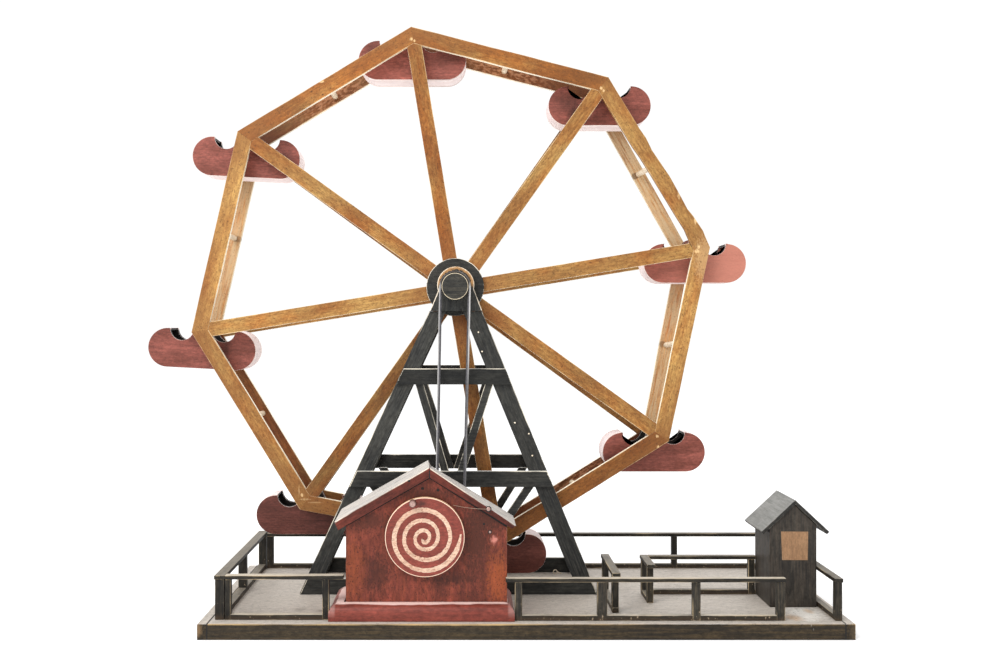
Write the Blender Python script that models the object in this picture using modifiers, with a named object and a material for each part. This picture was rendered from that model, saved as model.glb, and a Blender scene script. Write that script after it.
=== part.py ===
# A hand-made wooden model of a ferris wheel. A crank on the front of a small
# engine house turns the wheel through a belt, and eight gondolas hang on pins
# between the wheel's two frames. Metres, +X right, +Y to the back, +Z up. The
# origin is the middle of the deck's underside.

import math

import bmesh
import bpy
from mathutils import Vector

# Fit
GAP = 0.0003                 # between pieces that touch
SHAFT_SIDES = 24

# Deck, with a batten across each end
DECK_LENGTH = 0.762
DECK_DEPTH = 0.340
DECK_THICK = 0.0183
BATTEN_WIDE = 0.0113

# Wheel: two octagonal frames on one axle
HUB_X = -0.0836
HUB_Z = 0.4132
CORNERS = (                  # outer corners of the rim, hand-cut and uneven: radius, angle in degrees
    (0.3358, 8.9), (0.3385, 53.9), (0.3441, 99.6), (0.3488, 144.4),
    (0.3485, 189.7), (0.3532, 235.1), (0.3445, 279.2), (0.3429, 324.2),
)
RIM_WIDE = 0.0205
SPOKE_WIDE = 0.0190
LATH_THICK = 0.0070
WHEEL_FRONT = 0.1750         # front face of the front frame, from the deck's front edge
WHEEL_WIDE = 0.0960          # over both frames
SECTORS = len(CORNERS)
SPREADER_RADIUS = 0.0037
HUB_DISC_RADIUS = 0.0374
HUB_DISC_THICK = 0.0064
AXLE_RADIUS = 0.0060

# Gondolas
PINS = (                     # radius, angle in degrees
    (0.3183, 10.5), (0.3253, 54.9), (0.3313, 99.9), (0.3386, 144.3),
    (0.3381, 189.4), (0.3345, 235.0), (0.3292, 278.6), (0.3218, 323.5),
)
PIN_RADIUS = 0.0025
HANG_TILTS = (0, 0, 0, 3, 3, 0, 0, 0)  # degrees off level, the right end low
GONDOLA_LENGTH = 0.1420
GONDOLA_HIGH = 0.0515        # from the bottom up to the pin
GONDOLA_WIDE = 0.0500
GONDOLA_SIDE = 0.0060        # thickness of a side board
GONDOLA_SKIN = 0.0030        # thickness of the strip round the ends and bottom
NOTCH_RADIUS = 0.0155
NOTCH_OUT = 0.0276           # a notch's centre, from the pin
HUMP_ABOVE_PIN = 0.0080

# Towers, measured on the front one, the back one is its mirror
LEG_WIDE = 0.0210
LEG_THICK = 0.0097
LEG_FRONT = 0.1563           # from the deck's front edge
CROSSBAR_THICK = 0.0043
HEAD_RADIUS = 0.0238
HEAD_ARCH = (-0.0828, 0.4152)           # its middle
LEFT_EDGE_TOP = (-0.1159, 0.3820)      # outer edge of the left leg, where the head ends
LEFT_EDGE_FOOT = -0.2826
RIGHT_EDGE_TOP = (-0.0480, 0.3800)
RIGHT_EDGE_FOOT = 0.0985
UPPER_BAR = (0.2877, 0.3081)           # bottom and top of a crossbar
LOWER_BAR = (0.1562, 0.1767)
LOWER_BAR_BACK = (0.1640, 0.1833)
FOOT_BAR_HIGH = 0.0207
BRACE_WIDE = 0.0100
BRACE_THICK = 0.0060
BRACE_ABOVE = 0.0015                   # how far a brace's top runs up behind its crossbar
BRACE_FOOT_X = -0.0864
BRACE_FOOT_GAP = 0.0090                # between the middles of its two laths, at the foot

# Belt and crank
PULLEY_RADIUS = 0.0168
PULLEY_THICK = 0.0120
GROOVE_DEPTH = 0.0010
BELT_RADIUS = 0.0023
BELT_PLANE = 0.1400
CRANK_X = -0.1179
CRANK_Z = 0.1160
CRANK_RADIUS = 0.0465
CRANK_THICK = 0.0080
CRANK_FRONT = 0.0140
HANDLE_OUT = (-0.0139, 0.0404)         # from the middle of the crank
HANDLE_RADIUS = 0.0043
HANDLE_LONG = 0.0110
GUIDE_RADIUS = 0.0030
GUIDES = ((-0.1122, 0.1500), (-0.0773, 0.1460))

# Engine house
HOUSE_LEFT = -0.2133
HOUSE_RIGHT = -0.0235
HOUSE_FRONT = 0.0250
HOUSE_BACK = 0.0980
HOUSE_WALL = 0.0080
EAVE_Z = 0.1255
RIDGE_X = -0.1125
RIDGE_Z = 0.1835                       # underside of the roof at the ridge
ROOF_THICK = 0.0090
ROOF_LEFT = -0.2215
ROOF_RIGHT = -0.0145
ROOF_FRONT = 0.0190
ROOF_BACK = 0.1030
PLINTH_HIGH = 0.0200
PLINTH_LEFT = -0.2304
PLINTH_RIGHT = -0.0130
PLINTH_FRONT = 0.0100
PLINTH_BACK = 0.1080
PLINTH_ROUND = 0.0120

# Ticket booth
BOOTH_LEFT = 0.3022
BOOTH_RIGHT = 0.3595
BOOTH_FRONT = 0.0820
BOOTH_BACK = 0.1570
BOOTH_RIDGE_X = 0.3328
BOOTH_RIDGE_Z = 0.1442                 # underside of the roof at the ridge
BOOTH_SLOPE = 0.93
BOOTH_ROOF_THICK = 0.0043
BOOTH_ROOF_LEFT = 0.2940
BOOTH_ROOF_RIGHT = 0.3716
BOOTH_ROOF_FRONT = 0.0790
BOOTH_ROOF_BACK = 0.1680

# Fences
FENCE_TOP_LEFT = 0.0704
FENCE_TOP = 0.0680
RAIL_THICK = 0.0045
RAIL_WIDE_LEFT = 0.0125
RAIL_WIDE = 0.0100
SILL_HIGH = 0.0060
POST_INSET = 0.0010                    # of posts and sill behind the rail's faces
POST_LONG = 0.0090                     # along the fence
FENCE_LEFT = -0.3650                   # outer faces of the fences round the deck
FENCE_RIGHT = 0.3705
FENCE_FRONT_LEFT = 0.0180
FENCE_FRONT_RIGHT = 0.0135
FENCE_BACK = 0.3270
ENTRANCE_LEFT = 0.3042
QUEUE_NEAR_LEFT = 0.1048               # the first queue rail
QUEUE_NEAR_RUN = (0.0440, 0.1650)
QUEUE_FAR_LEFT = 0.1542                # the second one
QUEUE_FAR_RUN = (0.0950, 0.1605)
QUEUE_BACK_FRONT = 0.1510

RED = (0.235, 0.045, 0.032)
OCHRE = (0.430, 0.215, 0.065)
BLACK = (0.030, 0.034, 0.032)
GREY_BOARD = (0.420, 0.390, 0.350)
BOOTH_GREY = (0.085, 0.078, 0.070)
RUBBER = (0.045, 0.045, 0.048)
PALE_WOOD = (0.720, 0.620, 0.480)


def depth(distance):
    return distance - DECK_DEPTH / 2


def mirrored(front, thick):
    """The front face of a tower's piece as it stands behind the wheel."""
    return 2 * WHEEL_FRONT + WHEEL_WIDE - front - thick


# The scene

def clear_scene():
    for thing in list(bpy.data.objects):
        bpy.data.objects.remove(thing, do_unlink=True)


def new_collection(name, hidden=False):
    collection = bpy.data.collections.new(name)
    bpy.context.scene.collection.children.link(collection)
    collection.hide_render = hidden
    return collection


def paint(colour, roughness=0.6, metallic=0.0):
    return {"colour": colour, "roughness": roughness, "metallic": metallic}


def add_material(obj, look):
    material = bpy.data.materials.new(obj.name)
    material.use_nodes = True
    shader = material.node_tree.nodes["Principled BSDF"]
    shader.inputs["Base Color"].default_value = (*look["colour"], 1.0)
    shader.inputs["Roughness"].default_value = look["roughness"]
    shader.inputs["Metallic"].default_value = look["metallic"]
    obj.data.materials.clear()
    obj.data.materials.append(material)


def move_to(obj, collection):
    for old in list(obj.users_collection):
        old.objects.unlink(obj)
    collection.objects.link(obj)


def piece(obj, name, look, carrier=None):
    """Names a finished solid and hangs it on the empty that carries it."""
    obj.name = name
    obj.data.name = name
    add_material(obj, look)
    move_to(obj, parts)
    if carrier is not None:
        bpy.context.view_layer.update()
        obj.parent = carrier
        obj.matrix_parent_inverse = carrier.matrix_world.inverted()
    return obj


def axis_empty(name, x, z, carrier=None):
    empty = bpy.data.objects.new(name, None)
    empty.empty_display_size = 0.02
    empty.location = (x, depth(WHEEL_FRONT + WHEEL_WIDE / 2), z)
    parts.objects.link(empty)
    bpy.context.view_layer.update()
    if carrier is not None:
        empty.parent = carrier
        empty.matrix_parent_inverse = carrier.matrix_world.inverted()
        bpy.context.view_layer.update()
    return empty


# Shapes

def block(x, y, z):
    """A box between two values along each axis."""
    middle = [(low + high) / 2 for low, high in (x, y, z)]
    bpy.ops.mesh.primitive_cube_add(size=1.0, location=middle)
    obj = bpy.context.object
    obj.scale = [high - low for low, high in (x, y, z)]
    bpy.ops.object.transform_apply(location=False, rotation=False, scale=True)
    return obj


def rod(x, z, radius, front, back, sides=SHAFT_SIDES):
    """A round bar along Y."""
    bpy.ops.mesh.primitive_cylinder_add(
        vertices=sides,
        radius=radius,
        depth=back - front,
        location=(x, depth((front + back) / 2), z),
        rotation=(math.pi / 2, 0, 0),
    )
    obj = bpy.context.object
    obj.data.shade_smooth()
    obj.data.set_sharp_from_angle(angle=math.radians(40))
    return obj


def as_mesh(obj):
    """A curve object turned into a closed mesh object."""
    bpy.context.view_layer.update()
    seen = obj.evaluated_get(bpy.context.evaluated_depsgraph_get())
    mesh = bpy.data.meshes.new_from_object(seen)
    weld(mesh)
    solid = bpy.data.objects.new(obj.name, mesh)
    solid.matrix_world = obj.matrix_world.copy()
    bpy.context.scene.collection.objects.link(solid)
    bpy.data.objects.remove(obj, do_unlink=True)
    return solid


def weld(mesh):
    shape = bmesh.new()
    shape.from_mesh(mesh)
    bmesh.ops.remove_doubles(shape, verts=shape.verts, dist=0.00001)
    shape.to_mesh(mesh)
    shape.free()


def board(outlines, front, thick):
    """A flat board standing in the XZ plane: its outline, then any holes."""
    curve = bpy.data.curves.new("board", "CURVE")
    curve.dimensions = "2D"
    curve.fill_mode = "BOTH"
    curve.extrude = thick / 2
    for points in outlines:
        spline = curve.splines.new("POLY")
        spline.points.add(len(points) - 1)
        for slot, (x, z) in zip(spline.points, points):
            slot.co = (x, z, 0.0, 1.0)
        spline.use_cyclic_u = True
    obj = bpy.data.objects.new("board", curve)
    obj.rotation_euler.x = math.pi / 2
    obj.location.y = depth(front + thick / 2)
    bpy.context.scene.collection.objects.link(obj)
    return as_mesh(obj)


def arc(x, z, radius, start, end, steps):
    """Points on an arc, by angle in degrees, counter-clockwise when end is larger."""
    points = []
    for i in range(steps + 1):
        angle = math.radians(start + (end - start) * i / steps)
        points.append((x + radius * math.cos(angle), z + radius * math.sin(angle)))
    return points


def combine(target, tool, operation):
    modifier = target.modifiers.new(operation.lower(), "BOOLEAN")
    modifier.operation = operation
    modifier.solver = "EXACT"
    modifier.object = tool
    return modifier


def fuse(solids):
    """Joins overlapping solids into the first one."""
    first = solids[0]
    bpy.context.view_layer.objects.active = first
    for other in solids[1:]:
        modifier = combine(first, other, "UNION")
        bpy.ops.object.modifier_apply(modifier=modifier.name)
        bpy.data.objects.remove(other, do_unlink=True)
    return first


def cut(obj, cutter):
    cutter.name = "cutter"
    cutter.display_type = "WIRE"
    cutter.hide_render = True
    move_to(cutter, cutters)
    combine(obj, cutter, "DIFFERENCE")
    return obj


# Deck

def build_deck():
    ends = (-DECK_LENGTH / 2, DECK_LENGTH / 2)
    y = (depth(0), depth(DECK_DEPTH))
    z = (0, DECK_THICK)
    inner = (ends[0] + BATTEN_WIDE, ends[1] - BATTEN_WIDE)
    look = paint(GREY_BOARD, 0.8)
    piece(block((inner[0] + GAP, inner[1] - GAP), y, z), "deck_board", look)
    piece(block((ends[0], inner[0]), y, z), "left_end_batten", look)
    piece(block((inner[1], ends[1]), y, z), "right_end_batten", look)


# Towers

def leg_x(side, z):
    """Outer edge of a leg at a height, on the left or the right."""
    top, foot = (LEFT_EDGE_TOP, LEFT_EDGE_FOOT) if side == "left" else (RIGHT_EDGE_TOP, RIGHT_EDGE_FOOT)
    return top[0] + (foot - top[0]) * (top[1] - z) / (top[1] - DECK_THICK)


def leg_width_across(side):
    """Width of a leg measured level, along X."""
    top = DECK_THICK + 0.1
    lean = (leg_x(side, DECK_THICK) - leg_x(side, top)) / 0.1
    across = LEG_WIDE * math.hypot(1, lean)
    return across if side == "left" else -across


def leg_outline(side, top):
    across = leg_width_across(side)
    foot = DECK_THICK + GAP
    return [
        (leg_x(side, foot), foot),
        (leg_x(side, foot) + across, foot),
        (leg_x(side, top) + across, top),
        (leg_x(side, top), top),
    ]


def crossbar_outline(bar):
    low, high = bar
    return [
        (leg_x("left", low), low),
        (leg_x("right", low), low),
        (leg_x("right", high), high),
        (leg_x("left", high), high),
    ]


def head_outline():
    """The board round the axle: an arch on two sides that run down the legs."""
    low = LEFT_EDGE_TOP[1]
    left = (leg_x("left", low), low)
    right = (leg_x("right", low), low)
    return [left, right] + arc(*HEAD_ARCH, HEAD_RADIUS, -12, 198, 16)


def brace_outline(low, high, middle):
    """Two laths as one V: their tops fit inside the legs, their feet meet."""
    rise = high - low
    arms = []
    for side, sign in (("left", -1), ("right", 1)):
        corner = leg_x(side, high) + leg_width_across(side) - sign * GAP
        foot = middle + sign * BRACE_FOOT_GAP / 2
        lean = (corner - foot) / rise
        across = BRACE_WIDE * math.hypot(1, lean)
        lean = (corner - sign * across / 2 - foot) / rise
        arms.append((foot, lean, across))
    (left, left_lean, left_across), (right, right_lean, right_across) = arms
    overlap = (left_across + right_across) / 2 - BRACE_FOOT_GAP
    crotch = overlap / (right_lean - left_lean)
    return [
        (left - left_across / 2, low),
        (right + right_across / 2, low),
        (right + right_across / 2 + right_lean * rise, high),
        (right - right_across / 2 + right_lean * rise, high),
        (left + left_across / 2 + left_lean * crotch, low + crotch),
        (left + left_across / 2 + left_lean * rise, high),
        (left - left_across / 2 + left_lean * rise, high),
    ]


def build_tower(where):
    front = where == "front"

    def face(distance, thick):
        return distance if front else mirrored(distance, thick)

    look = paint(BLACK, 0.55)
    lower = LOWER_BAR if front else LOWER_BAR_BACK
    foot = (DECK_THICK + GAP, DECK_THICK + FOOT_BAR_HIGH)
    bar_front = LEG_FRONT - GAP - CROSSBAR_THICK
    leg_top = LEFT_EDGE_TOP[1]
    for side in ("left", "right"):
        leg = board([leg_outline(side, leg_top - GAP)], face(LEG_FRONT, LEG_THICK), LEG_THICK)
        piece(leg, where + "_tower_" + side + "_leg", look)
    thick = LEG_THICK + CROSSBAR_THICK + GAP
    head_front = face(bar_front, thick)
    head = board([head_outline()], head_front, thick)
    cut(head, rod(HUB_X, HUB_Z, AXLE_RADIUS + GAP, head_front - 0.01, head_front + thick + 0.01))
    piece(head, where + "_tower_head", look)
    for name, bar in (("upper", UPPER_BAR), ("lower", lower), ("foot", foot)):
        crossbar = board([crossbar_outline(bar)], face(bar_front, CROSSBAR_THICK), CROSSBAR_THICK)
        piece(crossbar, where + "_tower_" + name + "_crossbar", look)
    upper_v = brace_outline(lower[0], UPPER_BAR[0] + BRACE_ABOVE, BRACE_FOOT_X)
    lower_v = brace_outline(foot[0], lower[0] + BRACE_ABOVE, BRACE_FOOT_X)
    for name, outline in (("upper", upper_v), ("lower", lower_v)):
        brace = board([outline], face(LEG_FRONT, BRACE_THICK), BRACE_THICK)
        piece(brace, where + "_tower_" + name + "_brace", look)


# Wheel

def round_wheel(radius, degrees):
    angle = math.radians(degrees)
    return Vector((HUB_X + radius * math.cos(angle), HUB_Z + radius * math.sin(angle)))


def rim_corner(k):
    return round_wheel(*CORNERS[k % SECTORS])


def moved_left(start, end, distance):
    """A line through two points, moved to its left."""
    along = (end - start).normalized()
    side = Vector((-along.y, along.x)) * distance
    return start + side, along


def crossing(first, second):
    """Where two lines meet, each a point and a direction."""
    (start, along), (other, across) = first, second
    reach = (other - start).cross(across) / along.cross(across)
    return tuple(start + along * reach)


def sector_window(k):
    """The open triangle between two spokes and the rim.

    Each spoke is half of a lath that runs straight from one corner to the
    opposite one.
    """
    opposite = SECTORS // 2
    first = moved_left(rim_corner(k + opposite), rim_corner(k), SPOKE_WIDE / 2)
    second = moved_left(rim_corner(k + 1 + opposite), rim_corner(k + 1), -SPOKE_WIDE / 2)
    rim = moved_left(rim_corner(k), rim_corner(k + 1), RIM_WIDE)
    return [crossing(first, second), crossing(first, rim), crossing(second, rim)]


def spreader_place(k):
    middle = (rim_corner(k) + rim_corner(k + 1)) / 2
    return moved_left(middle, rim_corner(k + 1), RIM_WIDE / 2)[0]


def build_wheel():
    look = paint(OCHRE, 0.5)
    axis = axis_empty("wheel_axis", HUB_X, HUB_Z)
    outline = [tuple(rim_corner(k)) for k in range(SECTORS)]
    hole = arc(HUB_X, HUB_Z, AXLE_RADIUS + GAP, 0, 360 - 360 / SHAFT_SIDES, SHAFT_SIDES - 1)
    windows = [sector_window(k) for k in range(SECTORS)]
    back = WHEEL_FRONT + WHEEL_WIDE - LATH_THICK
    front_frame = board([outline, hole] + windows, WHEEL_FRONT, LATH_THICK)
    back_frame = board([outline, hole] + windows, back, LATH_THICK)
    near = WHEEL_FRONT + LATH_THICK + GAP
    into = back + LATH_THICK / 2
    bars = [back_frame]
    for k in range(SECTORS):
        bars.append(rod(*round_wheel(*PINS[k]), PIN_RADIUS, near, into, 12))
        bars.append(rod(*spreader_place(k), SPREADER_RADIUS, near, into, 12))
    piece(front_frame, "front_wheel_frame", look, axis)
    piece(fuse(bars), "back_wheel_frame", look, axis)
    for name, face in (
        ("front_hub_disc", WHEEL_FRONT - GAP - HUB_DISC_THICK),
        ("back_hub_disc", WHEEL_FRONT + WHEEL_WIDE + GAP),
    ):
        disc = rod(HUB_X, HUB_Z, HUB_DISC_RADIUS, face, face + HUB_DISC_THICK, 40)
        cut(disc, rod(HUB_X, HUB_Z, AXLE_RADIUS + GAP, face - 0.01, face + 0.02))
        piece(disc, name, paint(BLACK, 0.5), axis)
    axle_front = BELT_PLANE + PULLEY_THICK / 2 + GAP
    axle_back = mirrored(BELT_PLANE, 0)
    axle = rod(HUB_X, HUB_Z, AXLE_RADIUS, axle_front, axle_back)
    piece(axle, "axle", look, axis)
    piece(pulley(HUB_X, HUB_Z), "axle_pulley", paint(BLACK, 0.5), axis)
    return axis


def pulley(x, z):
    """A turned disc with a shallow groove for the belt."""
    half = PULLEY_THICK / 2
    lip = half * 0.45
    floor = PULLEY_RADIUS - GROOVE_DEPTH
    profile = [(0, half), (PULLEY_RADIUS, half), (PULLEY_RADIUS, lip), (floor, 0)]
    profile += [(PULLEY_RADIUS, -lip), (PULLEY_RADIUS, -half), (0, -half)]
    mesh = bpy.data.meshes.new("pulley")
    edges = [(i, i + 1) for i in range(len(profile) - 1)]
    mesh.from_pydata([(r, 0.0, along) for r, along in profile], edges, [])
    obj = bpy.data.objects.new("pulley", mesh)
    bpy.context.scene.collection.objects.link(obj)
    turn = obj.modifiers.new("turn", "SCREW")
    turn.steps = 32
    turn.render_steps = 32
    turn.use_merge_vertices = True
    turn.merge_threshold = 0.00005
    turn.use_smooth_shade = False
    obj.rotation_euler.x = math.pi / 2
    obj.location = (x, depth(BELT_PLANE), z)
    return obj


# Gondolas

def gondola_mesh():
    """One gondola, its pin hole at the origin."""
    radius = GONDOLA_HIGH / 2
    reach = GONDOLA_LENGTH / 2 - radius
    z = HUB_Z
    x = HUB_X
    notch_end = NOTCH_OUT + NOTCH_RADIUS
    outer = arc(x - reach, z - radius, radius, 90, 270, 10)
    outer += arc(x + reach, z - radius, radius, -90, 90, 10)
    outer += arc(x + NOTCH_OUT, z, NOTCH_RADIUS, 0, -150, 8)
    outer += arc(x, z - 0.0020, HUMP_ABOVE_PIN + 0.0020, 30, 150, 6)
    outer += arc(x - NOTCH_OUT, z, NOTCH_RADIUS, -30, -180, 8)
    front = WHEEL_FRONT + (WHEEL_WIDE - GONDOLA_WIDE) / 2
    hull = board([outer], front, GONDOLA_WIDE)
    inner_radius = radius - GONDOLA_SKIN
    inner = arc(x - reach, z - radius, inner_radius, 90, 270, 8)
    inner += arc(x + reach, z - radius, inner_radius, -90, 90, 8)
    above = z + 2 * HUMP_ABOVE_PIN
    top = z - radius + inner_radius
    inner += [(x + notch_end, top), (x + notch_end, above), (x - notch_end, above), (x - notch_end, top)]
    hollow = board([inner], front + GONDOLA_SIDE, GONDOLA_WIDE - 2 * GONDOLA_SIDE)
    bore = rod(x, z, PIN_RADIUS + GAP, front - 0.01, front + GONDOLA_WIDE + 0.01, 12)
    for tool in (hollow, bore):
        modifier = combine(hull, tool, "DIFFERENCE")
        bpy.context.view_layer.objects.active = hull
        bpy.ops.object.modifier_apply(modifier=modifier.name)
        bpy.data.objects.remove(tool, do_unlink=True)
    mesh = hull.data
    middle = Vector((HUB_X, depth(WHEEL_FRONT + WHEEL_WIDE / 2), HUB_Z))
    mesh.transform(hull.matrix_world)
    for vertex in mesh.vertices:
        vertex.co -= middle
    bpy.data.objects.remove(hull, do_unlink=True)
    return mesh


def build_gondolas(wheel_axis):
    mesh = gondola_mesh()
    for k in range(SECTORS):
        x, z = round_wheel(*PINS[k])
        name = "gondola_" + str(k + 1)
        axis = axis_empty(name + "_axis", x, z, wheel_axis)
        gondola = bpy.data.objects.new(name, mesh.copy())
        gondola.location = (x, depth(WHEEL_FRONT + WHEEL_WIDE / 2), z)
        gondola.rotation_euler.y = math.radians(HANG_TILTS[k])
        bpy.context.scene.collection.objects.link(gondola)
        piece(gondola, name, paint(RED, 0.5), axis)
    bpy.data.meshes.remove(mesh)


# Belt and crank

def belt_path():
    """The closed line of the belt round both pulleys and past two guide pegs.

    Each circle is turned round left-handed (+) or right-handed (-), and the
    belt runs straight along the tangents between them.
    """
    ride = PULLEY_RADIUS - GROOVE_DEPTH + GAP + BELT_RADIUS
    graze = GUIDE_RADIUS + GAP + BELT_RADIUS
    circles = [
        (HUB_X, HUB_Z, ride),
        (*GUIDES[0], -graze),
        (CRANK_X, CRANK_Z, ride),
        (*GUIDES[1], graze),
    ]
    headings = []
    for i, (x, z, radius) in enumerate(circles):
        to_x, to_z, to_radius = circles[(i + 1) % len(circles)]
        span = math.hypot(to_x - x, to_z - z)
        bearing = math.atan2(to_z - z, to_x - x)
        headings.append(bearing - math.asin((to_radius - radius) / span))
    points = []
    for i, (x, z, radius) in enumerate(circles):
        arrive = headings[i - 1]
        turn = (headings[i] - arrive + math.pi) % (2 * math.pi) - math.pi
        if i in (0, 2):
            turn %= 2 * math.pi
        steps = max(2, round(abs(turn) / math.radians(15)))
        for step in range(steps + 1):
            heading = arrive + turn * step / steps
            points.append((x + radius * math.sin(heading), z - radius * math.cos(heading)))
    return points


def build_belt():
    curve = bpy.data.curves.new("drive_belt", "CURVE")
    curve.dimensions = "3D"
    curve.bevel_depth = BELT_RADIUS
    curve.bevel_resolution = 1
    spline = curve.splines.new("POLY")
    points = belt_path()
    spline.points.add(len(points) - 1)
    for slot, (x, z) in zip(spline.points, points):
        slot.co = (x, depth(BELT_PLANE), z, 1.0)
    spline.use_cyclic_u = True
    obj = bpy.data.objects.new("drive_belt", curve)
    bpy.context.scene.collection.objects.link(obj)
    piece(as_mesh(obj), "drive_belt", paint(RUBBER, 0.6))


def build_crank():
    axis = axis_empty("crank_axis", CRANK_X, CRANK_Z)
    disc = rod(CRANK_X, CRANK_Z, CRANK_RADIUS, CRANK_FRONT, CRANK_FRONT + CRANK_THICK, 40)
    cut(disc, rod(CRANK_X, CRANK_Z, AXLE_RADIUS + GAP, CRANK_FRONT - 0.01, CRANK_FRONT + 0.02))
    piece(disc, "crank_disc", paint(RED, 0.5), axis)
    handle = rod(
        CRANK_X + HANDLE_OUT[0],
        CRANK_Z + HANDLE_OUT[1],
        HANDLE_RADIUS,
        CRANK_FRONT - GAP - HANDLE_LONG,
        CRANK_FRONT - GAP,
        16,
    )
    piece(handle, "crank_handle", paint(PALE_WOOD, 0.6), axis)
    shaft = rod(CRANK_X, CRANK_Z, AXLE_RADIUS, CRANK_FRONT, BELT_PLANE - PULLEY_THICK / 2 - GAP)
    piece(shaft, "crank_shaft", paint(PALE_WOOD, 0.6), axis)
    piece(pulley(CRANK_X, CRANK_Z), "drive_pulley", paint(BLACK, 0.5), axis)


# Engine house

def under_roof(x, lift=0.0):
    """Height of the roof's underside over a point across the house."""
    edge = HOUSE_LEFT if x < RIDGE_X else HOUSE_RIGHT
    slope = (RIDGE_Z - EAVE_Z) / abs(edge - RIDGE_X)
    return RIDGE_Z - slope * abs(x - RIDGE_X) + lift


def gable_outline():
    foot = DECK_THICK + GAP
    return [
        (HOUSE_LEFT, foot),
        (HOUSE_RIGHT, foot),
        (HOUSE_RIGHT, under_roof(HOUSE_RIGHT, -2 * GAP)),
        (RIDGE_X, RIDGE_Z - 2 * GAP),
        (HOUSE_LEFT, under_roof(HOUSE_LEFT, -2 * GAP)),
    ]


def roof_board(ridge, tip, thick, front, back):
    """A sloping board, cut plumb at the ridge and square at the eave."""
    ridge, tip = Vector(ridge), Vector(tip)
    along = (tip - ridge).normalized()
    normal = Vector((-along.y, along.x))
    if normal.y < 0:
        normal = -normal
    top = Vector((ridge.x, ridge.y + thick / normal.y))
    outline = [tuple(ridge), tuple(tip), tuple(tip + normal * thick), tuple(top)]
    return board([outline], front, back - front)


def plinth():
    """A moulding round the front and both sides, its top edge well rounded."""
    y = (depth(PLINTH_FRONT), depth(PLINTH_BACK))
    moulding = block((PLINTH_LEFT, PLINTH_RIGHT), y, (DECK_THICK + GAP, DECK_THICK + PLINTH_HIGH))
    shape = bmesh.new()
    shape.from_mesh(moulding.data)
    top = max(v.co.z for v in shape.verts)
    back = max(v.co.y for v in shape.verts)
    rims = [e for e in shape.edges if all(v.co.z == top for v in e.verts)]
    rims = [e for e in rims if not all(v.co.y == back for v in e.verts)]
    bmesh.ops.bevel(shape, geom=rims, offset=PLINTH_ROUND, segments=5, profile=0.5, affect="EDGES")
    shape.to_mesh(moulding.data)
    shape.free()
    inside = block(
        (HOUSE_LEFT - GAP, HOUSE_RIGHT + GAP),
        (depth(HOUSE_FRONT - GAP), depth(PLINTH_BACK + 0.02)),
        (0.0, 0.1),
    )
    return cut(moulding, inside)


def build_house():
    look = paint(RED, 0.6)
    for name, face in (("front", HOUSE_FRONT), ("back", HOUSE_BACK - HOUSE_WALL)):
        wall = board([gable_outline()], face, HOUSE_WALL)
        if name == "back":
            peg_end = BELT_PLANE + BELT_RADIUS + 0.003
            for x, z in GUIDES:
                wall = fuse([wall, rod(x, z, GUIDE_RADIUS, HOUSE_BACK - HOUSE_WALL / 2, peg_end, 16)])
        cut(wall, rod(CRANK_X, CRANK_Z, AXLE_RADIUS + GAP, face - 0.01, face + 0.02))
        piece(wall, "house_" + name + "_wall", look)
    y = (depth(HOUSE_FRONT + HOUSE_WALL + GAP), depth(HOUSE_BACK - HOUSE_WALL - GAP))
    z = (DECK_THICK + GAP, EAVE_Z - 2 * GAP)
    piece(block((HOUSE_LEFT, HOUSE_LEFT + HOUSE_WALL), y, z), "house_left_wall", look)
    piece(block((HOUSE_RIGHT - HOUSE_WALL, HOUSE_RIGHT), y, z), "house_right_wall", look)
    for name, side, tip in (("left", -1, ROOF_LEFT), ("right", 1, ROOF_RIGHT)):
        ridge = (RIDGE_X + side * GAP / 2, RIDGE_Z)
        slat = roof_board(ridge, (tip, under_roof(tip)), ROOF_THICK, ROOF_FRONT, ROOF_BACK)
        piece(slat, "house_roof_" + name, look)
    piece(plinth(), "house_plinth", look)


# Ticket booth

def build_booth():
    look = paint(BOOTH_GREY, 0.7)

    def underside(x):
        return BOOTH_RIDGE_Z - BOOTH_SLOPE * abs(x - BOOTH_RIDGE_X)

    foot = DECK_THICK + GAP
    outline = [
        (BOOTH_LEFT, foot),
        (BOOTH_RIGHT, foot),
        (BOOTH_RIGHT, underside(BOOTH_RIGHT) - 2 * GAP),
        (BOOTH_RIDGE_X, BOOTH_RIDGE_Z - 2 * GAP),
        (BOOTH_LEFT, underside(BOOTH_LEFT) - 2 * GAP),
    ]
    piece(board([outline], BOOTH_FRONT, BOOTH_BACK - BOOTH_FRONT), "booth_body", look)
    for name, side, tip in (("left", -1, BOOTH_ROOF_LEFT), ("right", 1, BOOTH_ROOF_RIGHT)):
        ridge = (BOOTH_RIDGE_X + side * GAP / 2, BOOTH_RIDGE_Z)
        slat = roof_board(ridge, (tip, underside(tip)), BOOTH_ROOF_THICK, BOOTH_ROOF_FRONT, BOOTH_ROOF_BACK)
        piece(slat, "booth_roof_" + name, look)


# Fences: a rail and a sill joined by posts

def fence(name, along, run, face, posts, sill=None, wide=RAIL_WIDE, top=FENCE_TOP):
    """A fence along X or Y, its near or left side at face.

    The rail and the sill are (start, end), and a post is (start, width).
    """
    deck = DECK_THICK + GAP
    rail_low = top - RAIL_THICK

    def bar(reach, inset, z):
        across = (face + inset, face + wide - inset)
        if along == "x":
            return block(reach, (depth(across[0]), depth(across[1])), z)
        return block(across, (depth(reach[0]), depth(reach[1])), z)

    solids = [bar(run, 0.0, (rail_low, top))]
    for at, long in posts:
        solids.append(bar((at, at + long), POST_INSET, (deck, rail_low + RAIL_THICK / 2)))
    solids.append(bar(sill or run, POST_INSET, (deck, deck + SILL_HIGH)))
    piece(fuse(solids), name, paint(BLACK, 0.6))


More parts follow.
